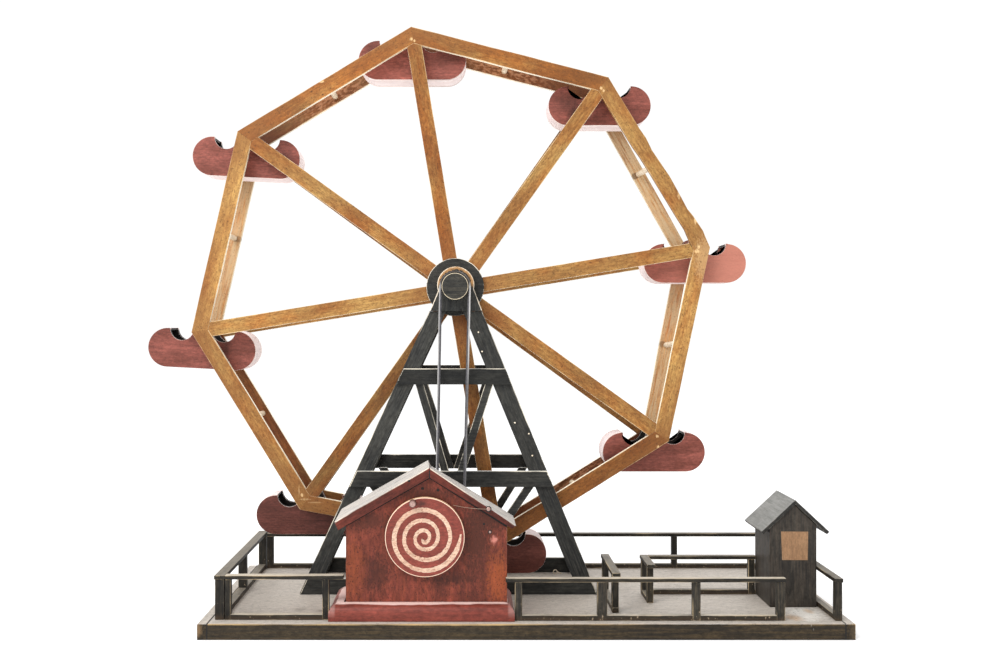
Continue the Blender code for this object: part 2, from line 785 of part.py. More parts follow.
def build_fences():
    inner_left = FENCE_LEFT + RAIL_WIDE_LEFT + GAP
    inner_right = FENCE_RIGHT - RAIL_WIDE - GAP
    side_front = FENCE_FRONT_RIGHT - POST_INSET
    back_face = FENCE_BACK - RAIL_WIDE
    fence("front_left_fence", "x", (inner_left, HOUSE_LEFT - GAP), FENCE_FRONT_LEFT,
          [(inner_left, 0.0065), (-0.2382, 0.0076)], (inner_left, PLINTH_LEFT - GAP),
          RAIL_WIDE_LEFT, FENCE_TOP_LEFT)
    fence("front_right_fence", "x", (HOUSE_RIGHT + GAP, ENTRANCE_LEFT), FENCE_FRONT_RIGHT,
          [(-0.0126, 0.0085), (0.0837, 0.0117), (0.1950, 0.0094), (0.2932, 0.0100)],
          (PLINTH_RIGHT + GAP, ENTRANCE_LEFT - POST_INSET))
    fence("left_fence", "y", (FENCE_FRONT_LEFT, FENCE_BACK), FENCE_LEFT,
          [(FENCE_FRONT_LEFT + POST_INSET, POST_LONG), (0.1640, POST_LONG),
           (FENCE_BACK - POST_INSET - POST_LONG, POST_LONG)],
          (FENCE_FRONT_LEFT + POST_INSET, FENCE_BACK - POST_INSET), RAIL_WIDE_LEFT, FENCE_TOP_LEFT)
    fence("back_fence", "x", (inner_left, inner_right), back_face,
          [(inner_left, POST_LONG), (-0.1745, POST_LONG), (0.0225, POST_LONG), (0.2226, 0.0080),
           (inner_right - POST_LONG, POST_LONG)])
    fence("right_fence", "y", (side_front, FENCE_BACK), FENCE_RIGHT - RAIL_WIDE,
          [(side_front + POST_INSET, 0.0105), (0.1680, POST_LONG),
           (FENCE_BACK - POST_INSET - POST_LONG, POST_LONG)],
          (side_front + POST_INSET, FENCE_BACK - POST_INSET))
    for name, run, left, first_post in (
        ("queue_near_rail", QUEUE_NEAR_RUN, QUEUE_NEAR_LEFT, 0.0545),
        ("queue_far_rail", QUEUE_FAR_RUN, QUEUE_FAR_LEFT, 0.1040),
    ):
        near, far = run
        last_post = far - POST_INSET - POST_LONG
        fence(name, "y", run, left, [(first_post, POST_LONG), (last_post, POST_LONG)],
              (near + POST_LONG, far - POST_INSET))
    fence("queue_back_rail", "x", (QUEUE_FAR_LEFT + RAIL_WIDE + GAP, BOOTH_LEFT - GAP), QUEUE_BACK_FRONT,
          [(0.2925, 0.0085)])


clear_scene()
parts = new_collection("model_ferris_wheel")
cutters = new_collection("cutters", hidden=True)
build_deck()
build_tower("front")
build_tower("back")
wheel_axis = build_wheel()
build_gondolas(wheel_axis)
build_belt()
build_crank()
build_house()
build_booth()
build_fences()
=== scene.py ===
# Looks of a hand-made wooden ferris wheel model: painted boards, laths, belt and fences
import math
import random

import bmesh
import bpy
from mathutils import Matrix, Vector, noise


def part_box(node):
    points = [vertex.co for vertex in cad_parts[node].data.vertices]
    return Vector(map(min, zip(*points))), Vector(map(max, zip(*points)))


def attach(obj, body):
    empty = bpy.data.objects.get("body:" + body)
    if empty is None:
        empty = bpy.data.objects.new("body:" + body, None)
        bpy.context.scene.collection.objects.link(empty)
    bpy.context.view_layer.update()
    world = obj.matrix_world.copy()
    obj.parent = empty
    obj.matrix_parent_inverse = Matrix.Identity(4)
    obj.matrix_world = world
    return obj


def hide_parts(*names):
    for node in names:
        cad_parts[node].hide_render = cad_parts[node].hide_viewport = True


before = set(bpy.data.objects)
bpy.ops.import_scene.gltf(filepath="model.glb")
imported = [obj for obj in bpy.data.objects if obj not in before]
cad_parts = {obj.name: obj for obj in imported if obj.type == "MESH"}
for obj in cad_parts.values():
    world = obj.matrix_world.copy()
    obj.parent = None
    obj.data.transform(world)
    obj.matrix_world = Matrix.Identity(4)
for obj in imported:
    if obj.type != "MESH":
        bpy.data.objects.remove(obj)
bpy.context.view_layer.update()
dice = random.Random(11)

across = Vector((1, 0, 0))
inward = Vector((0, 1, 0))  # from the front to the back
upward = Vector((0, 0, 1))
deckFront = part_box("deck_board")[0].y


def at(x, depth, z):  # depths are from the deck's front edge
    return Vector((x, deckFront + depth, z))


def flat(points, y):  # an upright outline at one depth, from points (x, z)
    return [Vector((x, y, z)) for x, z in points]


def arcPoints(x, z, radius, start, end, steps):
    angles = [math.radians(start + (end - start) * i / steps) for i in range(steps + 1)]
    return [(x + radius * math.cos(a), z + radius * math.sin(a)) for a in angles]


def circlePoints(x, z, radius, steps):
    return arcPoints(x, z, radius, 0, 360 - 360 / steps, steps - 1)


def shade(red, green, blue):  # a screen colour, 0 to 255, as Blender's linear one
    parts = [part / 255 for part in (red, green, blue)]
    return (*(p / 12.92 if p <= 0.04045 else ((p + 0.055) / 1.055) ** 2.4 for p in parts), 1.0)


# Camera, light and floor

setup = {
    "cameraX": -0.0709,
    "cameraBack": 1.387,  # from the deck's front edge
    "cameraHeight": 0.364,
    "lens": 43.2, "sensor": 36.0, "seen": 100.0,
    "shift": (0.035, -0.007),
    "skyStrength": 1.05,
    "floorSize": 30.0, "floorDrop": 0.0003, "floorTone": 0.94, "floorGlow": 0.12,
    "lights": (("key", (-1.3, -1.7, 1.9), 50.0), ("back", (0.4, 1.9, 1.7), 10.0)),  # place and power
    "lightSize": 1.6,
    "lightAim": (-0.07, 0.0, 0.3),
    "dim": 0.78,  # paint is mixed this much darker, to suit the strong key light
}


def makeLight(name, place, power):
    lamp = bpy.data.lights.new(name, "AREA")
    lamp.shape = "DISK"
    lamp.size = setup["lightSize"]
    lamp.energy = power
    light = bpy.data.objects.new(name, lamp)
    light.location = place
    aim = Vector(setup["lightAim"]) - light.location
    light.rotation_euler = aim.to_track_quat("-Z", "Y").to_euler()
    bpy.context.scene.collection.objects.link(light)


def makeStudio():
    scene = bpy.context.scene
    scene.view_settings.view_transform = "Standard"
    lens = bpy.data.cameras.new("camera")
    lens.sensor_width = setup["sensor"]
    lens.lens = setup["lens"]
    lens.shift_x, lens.shift_y = setup["shift"]
    lens.clip_end = setup["seen"]
    camera = bpy.data.objects.new("camera", lens)
    camera.location = at(setup["cameraX"], -setup["cameraBack"], setup["cameraHeight"])
    camera.rotation_euler = (math.radians(90), 0, 0)
    scene.collection.objects.link(camera)
    scene.camera = camera
    world = bpy.data.worlds.new("sky")
    world.use_nodes = True
    sky = world.node_tree.nodes["Background"]
    sky.inputs["Color"].default_value = (1, 1, 1, 1)
    sky.inputs["Strength"].default_value = setup["skyStrength"]
    scene.world = world
    for light in setup["lights"]:
        makeLight(*light)
    bpy.ops.mesh.primitive_plane_add(size=setup["floorSize"], location=(0, 0, -setup["floorDrop"]))
    floor = bpy.context.object
    floor.name = "floor"
    material = newFinish("floor")
    shader = shaderOf(material)
    shader.inputs["Base Color"].default_value = (setup["floorTone"],) * 3 + (1,)
    shader.inputs["Roughness"].default_value = 1.0
    shader.inputs["Specular IOR Level"].default_value = 0.0
    shader.inputs["Emission Color"].default_value = (1, 1, 1, 1)
    shader.inputs["Emission Strength"].default_value = setup["floorGlow"]
    floor.data.materials.append(material)


# Shells: each board is a closed shell with rounded arrises. Its points know their place along the
# fibres (grain), where they stand on the board (own) and how near an edge they are (wear).

shell = {
    "ringShare": 0.3, "ringLeast": 0.0001,  # the worn ring round a face, of its width, and at least
    "runOff": 1.5,  # sharp inner corners run off no further than this many rings
    "sideFrom": 0.52, "topFrom": 0.45,  # how far a face leans to count as a sawn side, or as a top
    "weld": 0.000005, "smooth": 40,
}


def newShells():
    return {key: [] for key in ("points", "faces", "grain", "own", "wear", "tone", "warm", "side", "top",
                                "inside", "quiet")}


def joinedRegions(faces, bend):
    left = dict.fromkeys(faces)  # kept in order, so that each run makes the same shapes
    regions = []
    while left:
        region = [left.popitem()[0]]
        for face in region:
            for edge in face.edges:
                for other in edge.link_faces:
                    if other in left and edge.calc_face_angle(math.pi) < bend:
                        del left[other]
                        region.append(other)
        regions.append(region)
    return regions


def insetRegion(bm, region, reach):
    before = [[v.co.copy() for v in face.verts] for face in region]
    bmesh.ops.inset_region(bm, faces=region, thickness=reach, use_even_offset=True, use_boundary=True)
    for face, olds in zip(region, before):
        for vertex, old in zip(face.verts, olds):
            off = vertex.co - old
            if off.length > shell["runOff"] * reach:
                vertex.co = old + off.normalized() * shell["runOff"] * reach


def addRings(bm, ring, bend):  # a narrow ring of faces inside each flat or bent side; gives what is within
    inner = set()
    for region in joinedRegions(bm.faces, bend):
        inRegion = set(region)
        rim = [e for f in region for e in f.edges if any(g not in inRegion for g in e.link_faces)]
        length = sum(e.calc_length() for e in rim)
        if length < 1e-6:
            continue
        width = 2 * sum(f.calc_area() for f in region) / length
        reach = min(ring, shell["ringShare"] * width)
        if reach > shell["ringLeast"]:
            insetRegion(bm, region, reach)
            inner.update(v for f in region for v in f.verts)
    bm.normal_update()
    return inner


def roundArrises(bm, arris, bend, dull):
    sharp = []
    for edge in bm.edges:
        if len(edge.link_faces) == 2 and edge.is_convex and edge.calc_face_angle() > bend:
            if dull is None or not dull((edge.verts[0].co + edge.verts[1].co) / 2):
                sharp.append(edge)
    if arris and sharp:
        bmesh.ops.bevel(bm, geom=sharp, offset=arris, offset_type="OFFSET", segments=2, profile=0.5,
                        affect="EDGES", clamp_overlap=True)
    bmesh.ops.triangulate(bm, faces=[f for f in bm.faces if len(f.verts) > 4])
    bm.normal_update()


def finishShell(shells, bm, along, through, arris, ring, bend=26, tint=(0.5, 0.5), sides=1.0, inside=None,
                dull=None):
    # inside(centre, normal) marks the faces painted black; dull(point) marks the edges left crisp
    bend = math.radians(bend)
    bmesh.ops.recalc_face_normals(bm, faces=bm.faces)
    bm.normal_update()
    inner = addRings(bm, ring, bend)
    roundArrises(bm, arris, bend, dull)
    through = through.normalized()
    along = (along - through * along.dot(through)).normalized()
    basis = (along, through.cross(along), through)
    low, high = [[pick(v.co.dot(axis) for v in bm.verts) for axis in basis] for pick in (min, max)]
    middle = [(a + b) / 2 for a, b in zip(low, high)]
    shift = [dice.uniform(-9, 9) for _ in range(3)]
    start = len(shells["points"])
    bm.verts.index_update()
    for vertex in bm.verts:
        own = [vertex.co.dot(axis) - mid for axis, mid in zip(basis, middle)]
        shells["points"].append(tuple(vertex.co))
        shells["own"] += own
        shells["grain"] += [a + b for a, b in zip(own, shift)]
        shells["wear"].append(0.0 if vertex in inner else 1.0)
        shells["tone"].append(tint[0])
        shells["warm"].append(tint[1])
    for face in bm.faces:
        centre = face.calc_center_median()
        shells["faces"].append([start + v.index for v in face.verts])
        shells["side"].append(sides if abs(face.normal.dot(through)) < shell["sideFrom"] else 0.0)
        shells["top"].append(1.0 if face.normal.z > shell["topFrom"] else 0.0)
        shells["inside"].append(1.0 if inside is not None and inside(centre, face.normal) else 0.0)
        shells["quiet"].append(1.0 if dull is not None and dull(centre) else 0.0)
    bm.free()


def addBoard(shells, outline, push, along=across, arris=0.0006, ring=0.0022, bend=26, **extras):
    bm = bmesh.new()
    near = [bm.verts.new(p) for p in outline]
    far = [bm.verts.new(Vector(p) + push) for p in outline]
    bm.faces.new(near)
    bm.faces.new(list(reversed(far)))
    for i in range(len(near)):
        j = (i + 1) % len(near)
        bm.faces.new((near[j], near[i], far[i], far[j]))
    finishShell(shells, bm, along, push, arris, ring, bend, **extras)


def addBand(shells, outer, inner, push, along, arris, ring, bend=34, **extras):
    # a bent strip between two lines of points
    bm = bmesh.new()
    lines = [[bm.verts.new(Vector(p) + off) for p in line]
             for off in (Vector(), push) for line in (outer, inner)]
    last = len(outer) - 1
    for a, b in ((0, 1), (3, 2), (2, 0), (1, 3)):
        for i in range(last):
            bm.faces.new((lines[a][i], lines[b][i], lines[b][i + 1], lines[a][i + 1]))
    for i in (0, last):
        bm.faces.new([lines[k][i] for k in (0, 1, 3, 2)])
    finishShell(shells, bm, along, push, arris, ring, bend, **extras)


def addStick(shells, low, high, along, arris=0.0005, ring=0.0020, **extras):  # a bar between two corners
    low, high = Vector(low), Vector(high)
    size = high - low
    ends = [i for i in range(3) if abs(along[i]) > 0.5][0]
    thin = min((i for i in range(3) if i != ends), key=lambda i: size[i])
    push = Vector([size[i] if i == thin else 0 for i in range(3)])
    one, two = [i for i in range(3) if i != thin]
    outline = []
    for a, b in ((0, 0), (1, 0), (1, 1), (0, 1)):
        corner = low.copy()
        corner[one] += size[one] * a
        corner[two] += size[two] * b
        outline.append(corner)
    addBoard(shells, outline, push, along, arris, ring, **extras)


def addRound(shells, x, z, radius, front, back, steps=48, arris=0.0006, ring=0.0016, **extras):
    outline = flat(circlePoints(x, z, radius, steps), front)
    addBoard(shells, outline, inward * (back - front), across, arris, ring, **extras)


def addDome(shells, centre, radius, height=0.5, steps=16, rings=4):  # a nail's head, facing forwards
    facing = -inward
    first = facing.orthogonal().normalized()
    second = facing.cross(first)
    bm = bmesh.new()
    circles = []
    for k in range(rings):
        lift = math.pi / 2 * k / rings
        reach, rise = radius * math.cos(lift), radius * height * math.sin(lift)
        turns = [2 * math.pi * i / steps for i in range(steps)]
        circles.append([bm.verts.new(centre + first * reach * math.cos(a) + second * reach * math.sin(a)
                                     + facing * rise) for a in turns])
    tip = bm.verts.new(centre + facing * radius * height)
    bm.faces.new(circles[0])
    for i in range(steps):
        j = (i + 1) % steps
        for under, over in zip(circles, circles[1:]):
            bm.faces.new((under[i], under[j], over[j], over[i]))
        bm.faces.new((circles[-1][i], circles[-1][j], tip))
    finishShell(shells, bm, first, facing, 0, 0, 80)


def addFromNode(shells, node, along=None, arris=0.0006, ring=0.0022, bend=26, reshape=None, **extras):
    bm = bmesh.new()  # the node's own shape, with its corners moved by reshape
    bm.from_mesh(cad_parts[node].data)
    for vertex in bm.verts:
        if reshape:
            vertex.co += reshape(vertex.co)
    bmesh.ops.remove_doubles(bm, verts=bm.verts, dist=shell["weld"])
    bmesh.ops.dissolve_limit(bm, angle_limit=math.radians(1), verts=bm.verts, edges=bm.edges)
    bm.normal_update()
    spread = {}
    for face in bm.faces:
        key = tuple(round(abs(c), 2) for c in face.normal)
        spread.setdefault(key, [0.0, face.normal.copy()])[0] += face.calc_area()
    through = max(spread.values(), key=lambda entry: entry[0])[1]
    if along is None:
        longest = max(bm.edges, key=lambda e: e.calc_length())
        along = longest.verts[1].co - longest.verts[0].co
    finishShell(shells, bm, along, through, arris, ring, bend, **extras)


def settle(piece, node=None, body="stand"):
    bpy.context.scene.collection.objects.link(piece)
    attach(piece, body)
    if node:
        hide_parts(node)


def makePiece(shells, name, finish, node=None, body="stand"):
    mesh = bpy.data.meshes.new(name)
    mesh.from_pydata(shells["points"], [], shells["faces"])
    for key in ("grain", "own"):
        mesh.attributes.new(key, "FLOAT_VECTOR", "POINT").data.foreach_set("vector", shells[key])
    for key in ("wear", "tone", "warm"):
        mesh.attributes.new(key, "FLOAT", "POINT").data.foreach_set("value", shells[key])
    for key in ("side", "top", "inside", "quiet"):
        mesh.attributes.new(key, "FLOAT", "FACE").data.foreach_set("value", shells[key])
    mesh.materials.append(finishes[finish])
    mesh.shade_smooth()
    mesh.set_sharp_from_angle(angle=math.radians(shell["smooth"]))
    piece = bpy.data.objects.new(name, mesh)
    level = piece.modifiers.new("even faces", "WEIGHTED_NORMAL")
    level.keep_sharp = True
    settle(piece, node, body)


def paintNode(node, finish, along=None, arris=0.0006, ring=0.0022, bend=26, **extras):
    shells = newShells()
    addFromNode(shells, node, along, arris, ring, bend, **extras)
    makePiece(shells, node + "_painted", finish, node)


def tube(name, points, radius, finish, closed=False):
    curve = bpy.data.curves.new(name, "CURVE")
    curve.dimensions = "3D"
    curve.bevel_depth = radius
    curve.bevel_resolution = 3
    curve.use_fill_caps = True
    spline = curve.splines.new("POLY")
    spline.points.add(len(points) - 1)
    for splinePoint, place in zip(spline.points, points):
        splinePoint.co = (*place, 1.0)
    spline.use_cyclic_u = closed
    curve.materials.append(finishes[finish])
    settle(bpy.data.objects.new(name, curve))


# Finishes: the sums are made of nodes, and each helper works in the node tree of what it is given

def put(tree, kind, inputs=None, **settings):
    made = tree.nodes.new(kind)
    for key, value in settings.items():
        setattr(made, key, value)
    for key, value in (inputs or {}).items():
        if isinstance(value, bpy.types.NodeSocket):
            tree.links.new(value, made.inputs[key])
        else:
            made.inputs[key].default_value = value
    return made


def treeOf(*parts):
    return next(part.id_data for part in parts if isinstance(part, bpy.types.NodeSocket))


def read(tree, key):
    made = put(tree, "ShaderNodeAttribute", attribute_name=key)
    return made.outputs["Vector" if key in ("grain", "own") else "Fac"]


def placeOn(tree):  # in metres, as the part stands at rest
    return put(tree, "ShaderNodeTexCoord").outputs["Object"]


def split(vector):
    return put(vector.id_data, "ShaderNodeSeparateXYZ", {0: vector}).outputs


def grainNoise(where, stretch, scale, detail=4.0, rough=0.55):
    stretched = put(where.id_data, "ShaderNodeMapping", {"Vector": where, "Scale": stretch})
    made = put(where.id_data, "ShaderNodeTexNoise", {"Vector": stretched.outputs[0], "Scale": scale,
                                                     "Detail": detail, "Roughness": rough})
    return made.outputs["Fac"]


def band(value, low, high, start=0.0, end=1.0):  # value from low to high becomes start to end
    made = put(value.id_data, "ShaderNodeMapRange", {"Value": value, "From Min": low, "From Max": high,
                                                     "To Min": start, "To Max": end})
    return made.outputs["Result"]


def maths(operation, first, second, clamp=False):
    made = put(treeOf(first, second), "ShaderNodeMath", {0: first, 1: second}, operation=operation,
               use_clamp=clamp)
    return made.outputs[0]


def times(first, *others):
    for other in others:
        first = maths("MULTIPLY", first, other)
    return first


def plus(first, *others):
    for other in others:
        first = maths("ADD", first, other)
    return first


def minus(first, second):
    return maths("SUBTRACT", first, second)


def blend(amount, under, over, mode="MIX"):
    made = put(treeOf(amount, under, over), "ShaderNodeMix", {0: amount, 6: under, 7: over},
               data_type="RGBA", blend_type=mode)
    return made.outputs[2]


def scaledBy(colour, amount):
    made = put(colour.id_data, "ShaderNodeVectorMath", {0: colour, "Scale": amount}, operation="SCALE")
    return made.outputs[0]


def distance(where, centre=(0, 0, 0), scale=(1, 1, 1)):
    moved = put(where.id_data, "ShaderNodeMapping", {
        "Vector": where, "Scale": scale, "Location": [-c * k for c, k in zip(centre, scale)]})
    made = put(where.id_data, "ShaderNodeVectorMath", {0: moved.outputs[0]}, operation="LENGTH")
    return made.outputs["Value"]


def newFinish(name):
    material = bpy.data.materials.new(name)
    material.use_nodes = True
    return material


def shaderOf(material):
    return material.node_tree.nodes["Principled BSDF"]


def mixedLook(look, usual):  # three numbers are a colour, two are a band's ends
    look = {**usual, **look}
    return {key: shade(*value) if isinstance(value, tuple) and len(value) == 3 else value
            for key, value in look.items()}


usualWood = {
    "fibres": 520, "clouds": 38, "mottles": 190, "patches": 34, "fleckSize": 620,  # bigger is finer
    "streaks": 0.5, "mottle": 0.36, "flecks": 0.6, "fleckFrom": (0.68, 0.74),
    "rubbed": 0.8, "rubbedFrom": (1.95, 2.25),
    "sideFrom": (0.30, 0.46), "topFrom": (0.36, 0.56), "topStreaks": 0.2, "topMottle": (0.82, 1.12),
    "topShare": False, "rough": (0.4, 0.64), "gloss": 0.2, "bump": 0.5, "bumpDepth": 0.0006,
    "dim": setup["dim"],
}


def woodFinish(name, extra=None, **look):
    material = newFinish(name)
    tree = material.node_tree
    look = mixedLook(look, usualWood)
    dim = look["dim"]
    grain = read(tree, "grain")
    fibres = grainNoise(grain, (0.05, 1, 1), look["fibres"], 5, 0.65)
    clouds = grainNoise(grain, (0.4, 1, 1), look["clouds"], 4, 0.6)
    flecks = grainNoise(grain, (0.7, 1, 1), look["fleckSize"], 2, 0.5)
    mottle = grainNoise(grain, (0.45, 1, 1), look["mottles"], 5, 0.72)
    colour = blend(band(clouds, 0.36, 0.64), look["deep"], look["paint"])
    if "warm" in look:  # redder and yellower patches
        patches = grainNoise(grain, (0.5, 1, 1), look["patches"], 3, 0.6)
        patches = minus(plus(times(patches, 3.0), times(mottle, 1.2)), 2.1)
        golden = maths("ADD", read(tree, "warm"), patches, True)
        colour = blend(golden, blend(1.0, colour, look["warm"], "MULTIPLY"), colour)
    streaks = band(fibres, 0.42, 0.68, 0.0, look["streaks"])
    colour = blend(streaks, colour, look["streak"])
    light = band(mottle, 0.3, 0.7, 1 - look["mottle"], 1 + look["mottle"])
    light = times(light, band(read(tree, "tone"), 0, 2, 0.5 * dim, 2.5 * dim))
    colour = scaledBy(colour, light)
    if "side" in look:  # the sawn faces round a board, painted paler: on the laths and gondolas a painted reflection of the white floor, on the crank disc its worn, unpainted edge
        colour = blend(times(read(tree, "side"), band(clouds, *look["sideFrom"])), colour, look["side"])
    if "top" in look:  # up-facing faces painted paler: scuffed, weathered paint, and a painted highlight where the light falls on the tops
        worn = plus(times(clouds, 0.6), times(fibres, 0.4))
        scuffAndHighlight = times(read(tree, "top"), band(worn, *look["topFrom"]))
        if look["topShare"]:
            scuffAndHighlight = times(scuffAndHighlight, read(tree, "warm"))
        streak = look.get("topStreak", look["streak"])
        bright = blend(times(streaks, look["topStreaks"]), look["top"], streak)
        dull, clear = look["topMottle"]
        bright = scaledBy(bright, band(mottle, 0.3, 0.7, dull * dim, clear * dim))
        colour = blend(scuffAndHighlight, colour, bright)
    if "inner" in look:
        colour = blend(read(tree, "inside"), colour, look["inner"])
    if extra:
        colour = extra(tree, colour, grain, fibres, clouds)
    worn = times(read(tree, "wear"), minus(1.0, read(tree, "quiet")))
    rubbed = plus(worn, times(fibres, 0.9), times(clouds, 1.3))
    colour = blend(band(rubbed, *look["rubbedFrom"], 0.0, look["rubbed"]), colour, look["bare"])
    colour = blend(band(flecks, *look["fleckFrom"], 0.0, look["flecks"]), colour, look["fleck"])
    height = plus(times(fibres, 0.7), times(mottle, 0.7))
    return coat(material, colour, fibres, look, height)


usualPlain = {"metal": 0.0, "gloss": 0.5, "bump": 0.3, "bumpDepth": 0.0004}


def plainFinish(name, extra=None, **look):  # metal, rubber and thread
    material = newFinish(name)
    tree = material.node_tree
    look = mixedLook(look, usualPlain)
    spots = grainNoise(placeOn(tree), (1, 1, 1), look["spots"], 3, 0.6)
    colour = blend(band(spots, 0.38, 0.62), look["deep"], look["paint"])
    if extra:
        colour = extra(tree, colour)
    shaderOf(material).inputs["Metallic"].default_value = look["metal"]
    return coat(material, colour, spots, look, spots)


def coat(material, colour, sheen, look, height):
    tree = material.node_tree
    shader = shaderOf(material)
    bump = put(tree, "ShaderNodeBump", {"Height": height, "Strength": look["bump"],
                                        "Distance": look["bumpDepth"]})
    tree.links.new(colour, shader.inputs["Base Color"])
    tree.links.new(band(sheen, 0.3, 0.7, *look["rough"]), shader.inputs["Roughness"])
    tree.links.new(bump.outputs[0], shader.inputs["Normal"])
    shader.inputs["Specular IOR Level"].default_value = look["gloss"]
    return material


def spot(tree, centre, radii, edge, ragged, size):  # one inside a ragged spot, none outside
    place = placeOn(tree)
    away = distance(place, centre, [1 / r if r else 0 for r in radii])
    rough = grainNoise(place, (1, 1, 0.5), size, 4, 0.6)
    return band(plus(away, times(minus(rough, 0.5), ragged * 4)), 1 - edge, 1 + edge, 1.0, 0.0)


def spotted(spots, edge, ragged, size, more=None):
    # spots are (x, z, half width, half height, strength, colour), or a place and radii with y too
    def paintSpots(tree, colour, *noises):
        if more:
            colour = more(tree, colour, *noises)
        for *where, strength, over in spots:
            centre, radii = where if len(where) == 2 else ((where[0], 0, where[1]), (where[2], 0, where[3]))
            colour = blend(times(spot(tree, centre, radii, edge, ragged, size), strength), colour, over)
        return colour
    return paintSpots


def backLathPaint(tree, colour, grain, fibres, clouds):  # the paler laths get pale streaks and a dark patch round each dowel's end; the darkest get pale flecks near the middle and grow darker towards the ends
    paler = band(read(tree, "tone"), 0.7, 1.0, 0.0, 0.9)
    colour = blend(times(paler, band(fibres, 0.34, 0.56)), colour, shade(206, 182, 144))
    away = distance(read(tree, "own"), (0, -0.0048, 0), (1.25, 1, 0))
    darkByDowel = times(band(plus(away, times(clouds, 0.006)), 0.0075, 0.0095, 0.8, 0.0), paler)
    colour = blend(darkByDowel, colour, shade(66, 36, 18))
    off = distance(read(tree, "own"))
    dark = band(read(tree, "tone"), 0.05, 0.12, 1.0, 0.0)
    chips = band(grainNoise(grain, (0.5, 1, 1), 300), 0.46, 0.58)
    colour = blend(times(band(off, 0.030, 0.080, 0.34, 0.0), dark, chips), colour, shade(204, 148, 110))
    return blend(times(band(off, 0.060, 0.115, 0.0, 0.5), dark), colour, shade(78, 42, 26))


def roundAway(tree, middle, size, ragged):  # how far from an upright circle's middle, raggedly
    x, z = middle
    place = placeOn(tree)
    return plus(distance(place, (x, 0, z), (1, 0, 1)), times(grainNoise(place, (1, 1, 1), size), ragged))


def lathCorners(tree, colour, *noises):  # browner towards the hub and the wheel's corners
    away = roundAway(tree, wheel["hub"], 160, 0.030)
    colour = blend(band(away, 0.050, 0.110, 0.42, 0.0), colour, shade(134, 78, 40))
    return blend(band(away, 0.322, 0.346, 0.0, 0.6), colour, shade(124, 80, 42))


def salmonGlareEnd(tree, colour, grain, fibres, clouds):  # one gondola's right end is painted paler salmon: a painted reflection of light from the right
    amount = band(split(read(tree, "own"))[0], -0.05, 0.03, 0.1, 0.75)
    amount = times(amount, band(read(tree, "warm"), 0.5, 1.0), band(read(tree, "side"), 0.0, 1.0, 1.0, 0.0))
    return blend(times(amount, band(fibres, 0.2, 0.5, 0.6, 1.0)), colour, shade(186, 122, 104))


def archEdge(tree, colour, *noises):  # the head's arched edge is rubbed to bare ochre
    z = tower["headMiddle"][1]
    above = band(split(placeOn(tree))[2], z - 0.004, z + 0.002)
    amount = band(roundAway(tree, tower["headMiddle"], 420, 0.009), 0.0238, 0.0256, 0.0, 0.85)
    return blend(times(above, amount), colour, shade(188, 142, 92))


def plinthHighlight(tree, colour, grain, fibres, clouds):  # a ragged painted highlight along the top edge and on both curved ends
    low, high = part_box("house_plinth")
    x, _, z = split(placeOn(tree))
    # noise that makes the painted highlight's edge ragged
    chips = times(minus(clouds, 0.5), 0.004)
    edge = band(plus(z, chips), high.z - 0.0014, high.z - 0.0006, 0.0, 0.8)
    off = maths("ABSOLUTE", minus(x, (low.x + high.x) / 2), 0.0)
    half = (high.x - low.x) / 2
    ends = times(band(off, half - 0.0085, half - 0.0065, 0.0, 0.14), band(z, 0.022, 0.030))
    return blend(maths("MAXIMUM", edge, ends), colour, shade(238, 208, 200))


def brownFeet(tree, colour, grain, fibres, clouds):  # posts worn brown and chipped where they meet the deck
    place = placeOn(tree)
    z = split(place)[2]
    worn = band(plus(z, times(clouds, 0.016)), 0.0245, 0.0325, 0.35, 0.0)
    colour = blend(worn, colour, shade(104, 82, 62))
    chips = band(grainNoise(place, (1, 1, 0.6), 330), 0.63, 0.69, 0.0, 0.7)
    return blend(times(chips, band(z, 0.026, 0.042, 1.0, 0.0)), colour, shade(190, 168, 142))


def beltShine(tree, colour):  # dark over the wheel's pulley, and a painted highlight down each strand's outer side
    place = placeOn(tree)
    x, _, z = split(place)
    facing = split(put(tree, "ShaderNodeNewGeometry").outputs["Normal"])[0]
    side = band(x, -0.0840, -0.0820)
    # painted highlight: strong on the right strand's right side higher up, faint on the left strand's left
    # side
    right = times(band(facing, 0.0, 0.4), band(z, 0.2900, 0.3500, 0.15, 1.0), side)
    left = times(band(facing, -0.2, -0.6, 0.0, 0.4), band(side, 0, 1, 1, 0))
    broken = band(grainNoise(place, (1, 1, 0.1), 120), 0.35, 0.55, 0.4, 1.0)
    colour = blend(times(plus(right, left), broken), colour, shade(236, 234, 232))
    return blend(band(z, 0.4130, 0.4190, 0.0, 0.9), colour, shade(40, 32, 26))


# Deck: one board with a batten across each end

deck = {"arris": 0.0012, "ring": 0.004, "crispBelow": 0.004,  # and the dark joints between the boards
        "jointWide": 0.0016, "jointProud": 0.0001, "jointSunk": 0.0004, "jointEdge": 0.0006,
        "jointDrop": 0.0002}


def makeDeck():
    low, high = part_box("deck_board")

    def joint(point):  # the edges at the joints and underneath stay crisp
        away = min(abs(point.x - low.x), abs(point.x - high.x))
        return away < deck["ring"] or point.z < deck["crispBelow"]

    for node, along in (("deck_board", across), ("left_end_batten", inward), ("right_end_batten", inward)):
        paintNode(node, "deck", along, deck["arris"], deck["ring"], dull=joint)
    lines = newShells()
    half, edge = deck["jointWide"] / 2, deck["jointEdge"]
    proud, sunk = deck["jointProud"], deck["jointSunk"]
    faceTop = high.z - edge - deck["jointDrop"]
    for x in (low.x, high.x):
        face = (x - half, low.y - proud, edge), (x + half, low.y + sunk, faceTop)
        addStick(lines, *face, upward, 0, 0)
        top = (x - half, low.y + edge, high.z - sunk), (x + half, high.y - edge, high.z + proud)
        addStick(lines, *top, inward, 0, 0)
    makePiece(lines, "deck_joints", "dark")


# Towers: two legs, an arched head, three crossbars and two braces, front and back

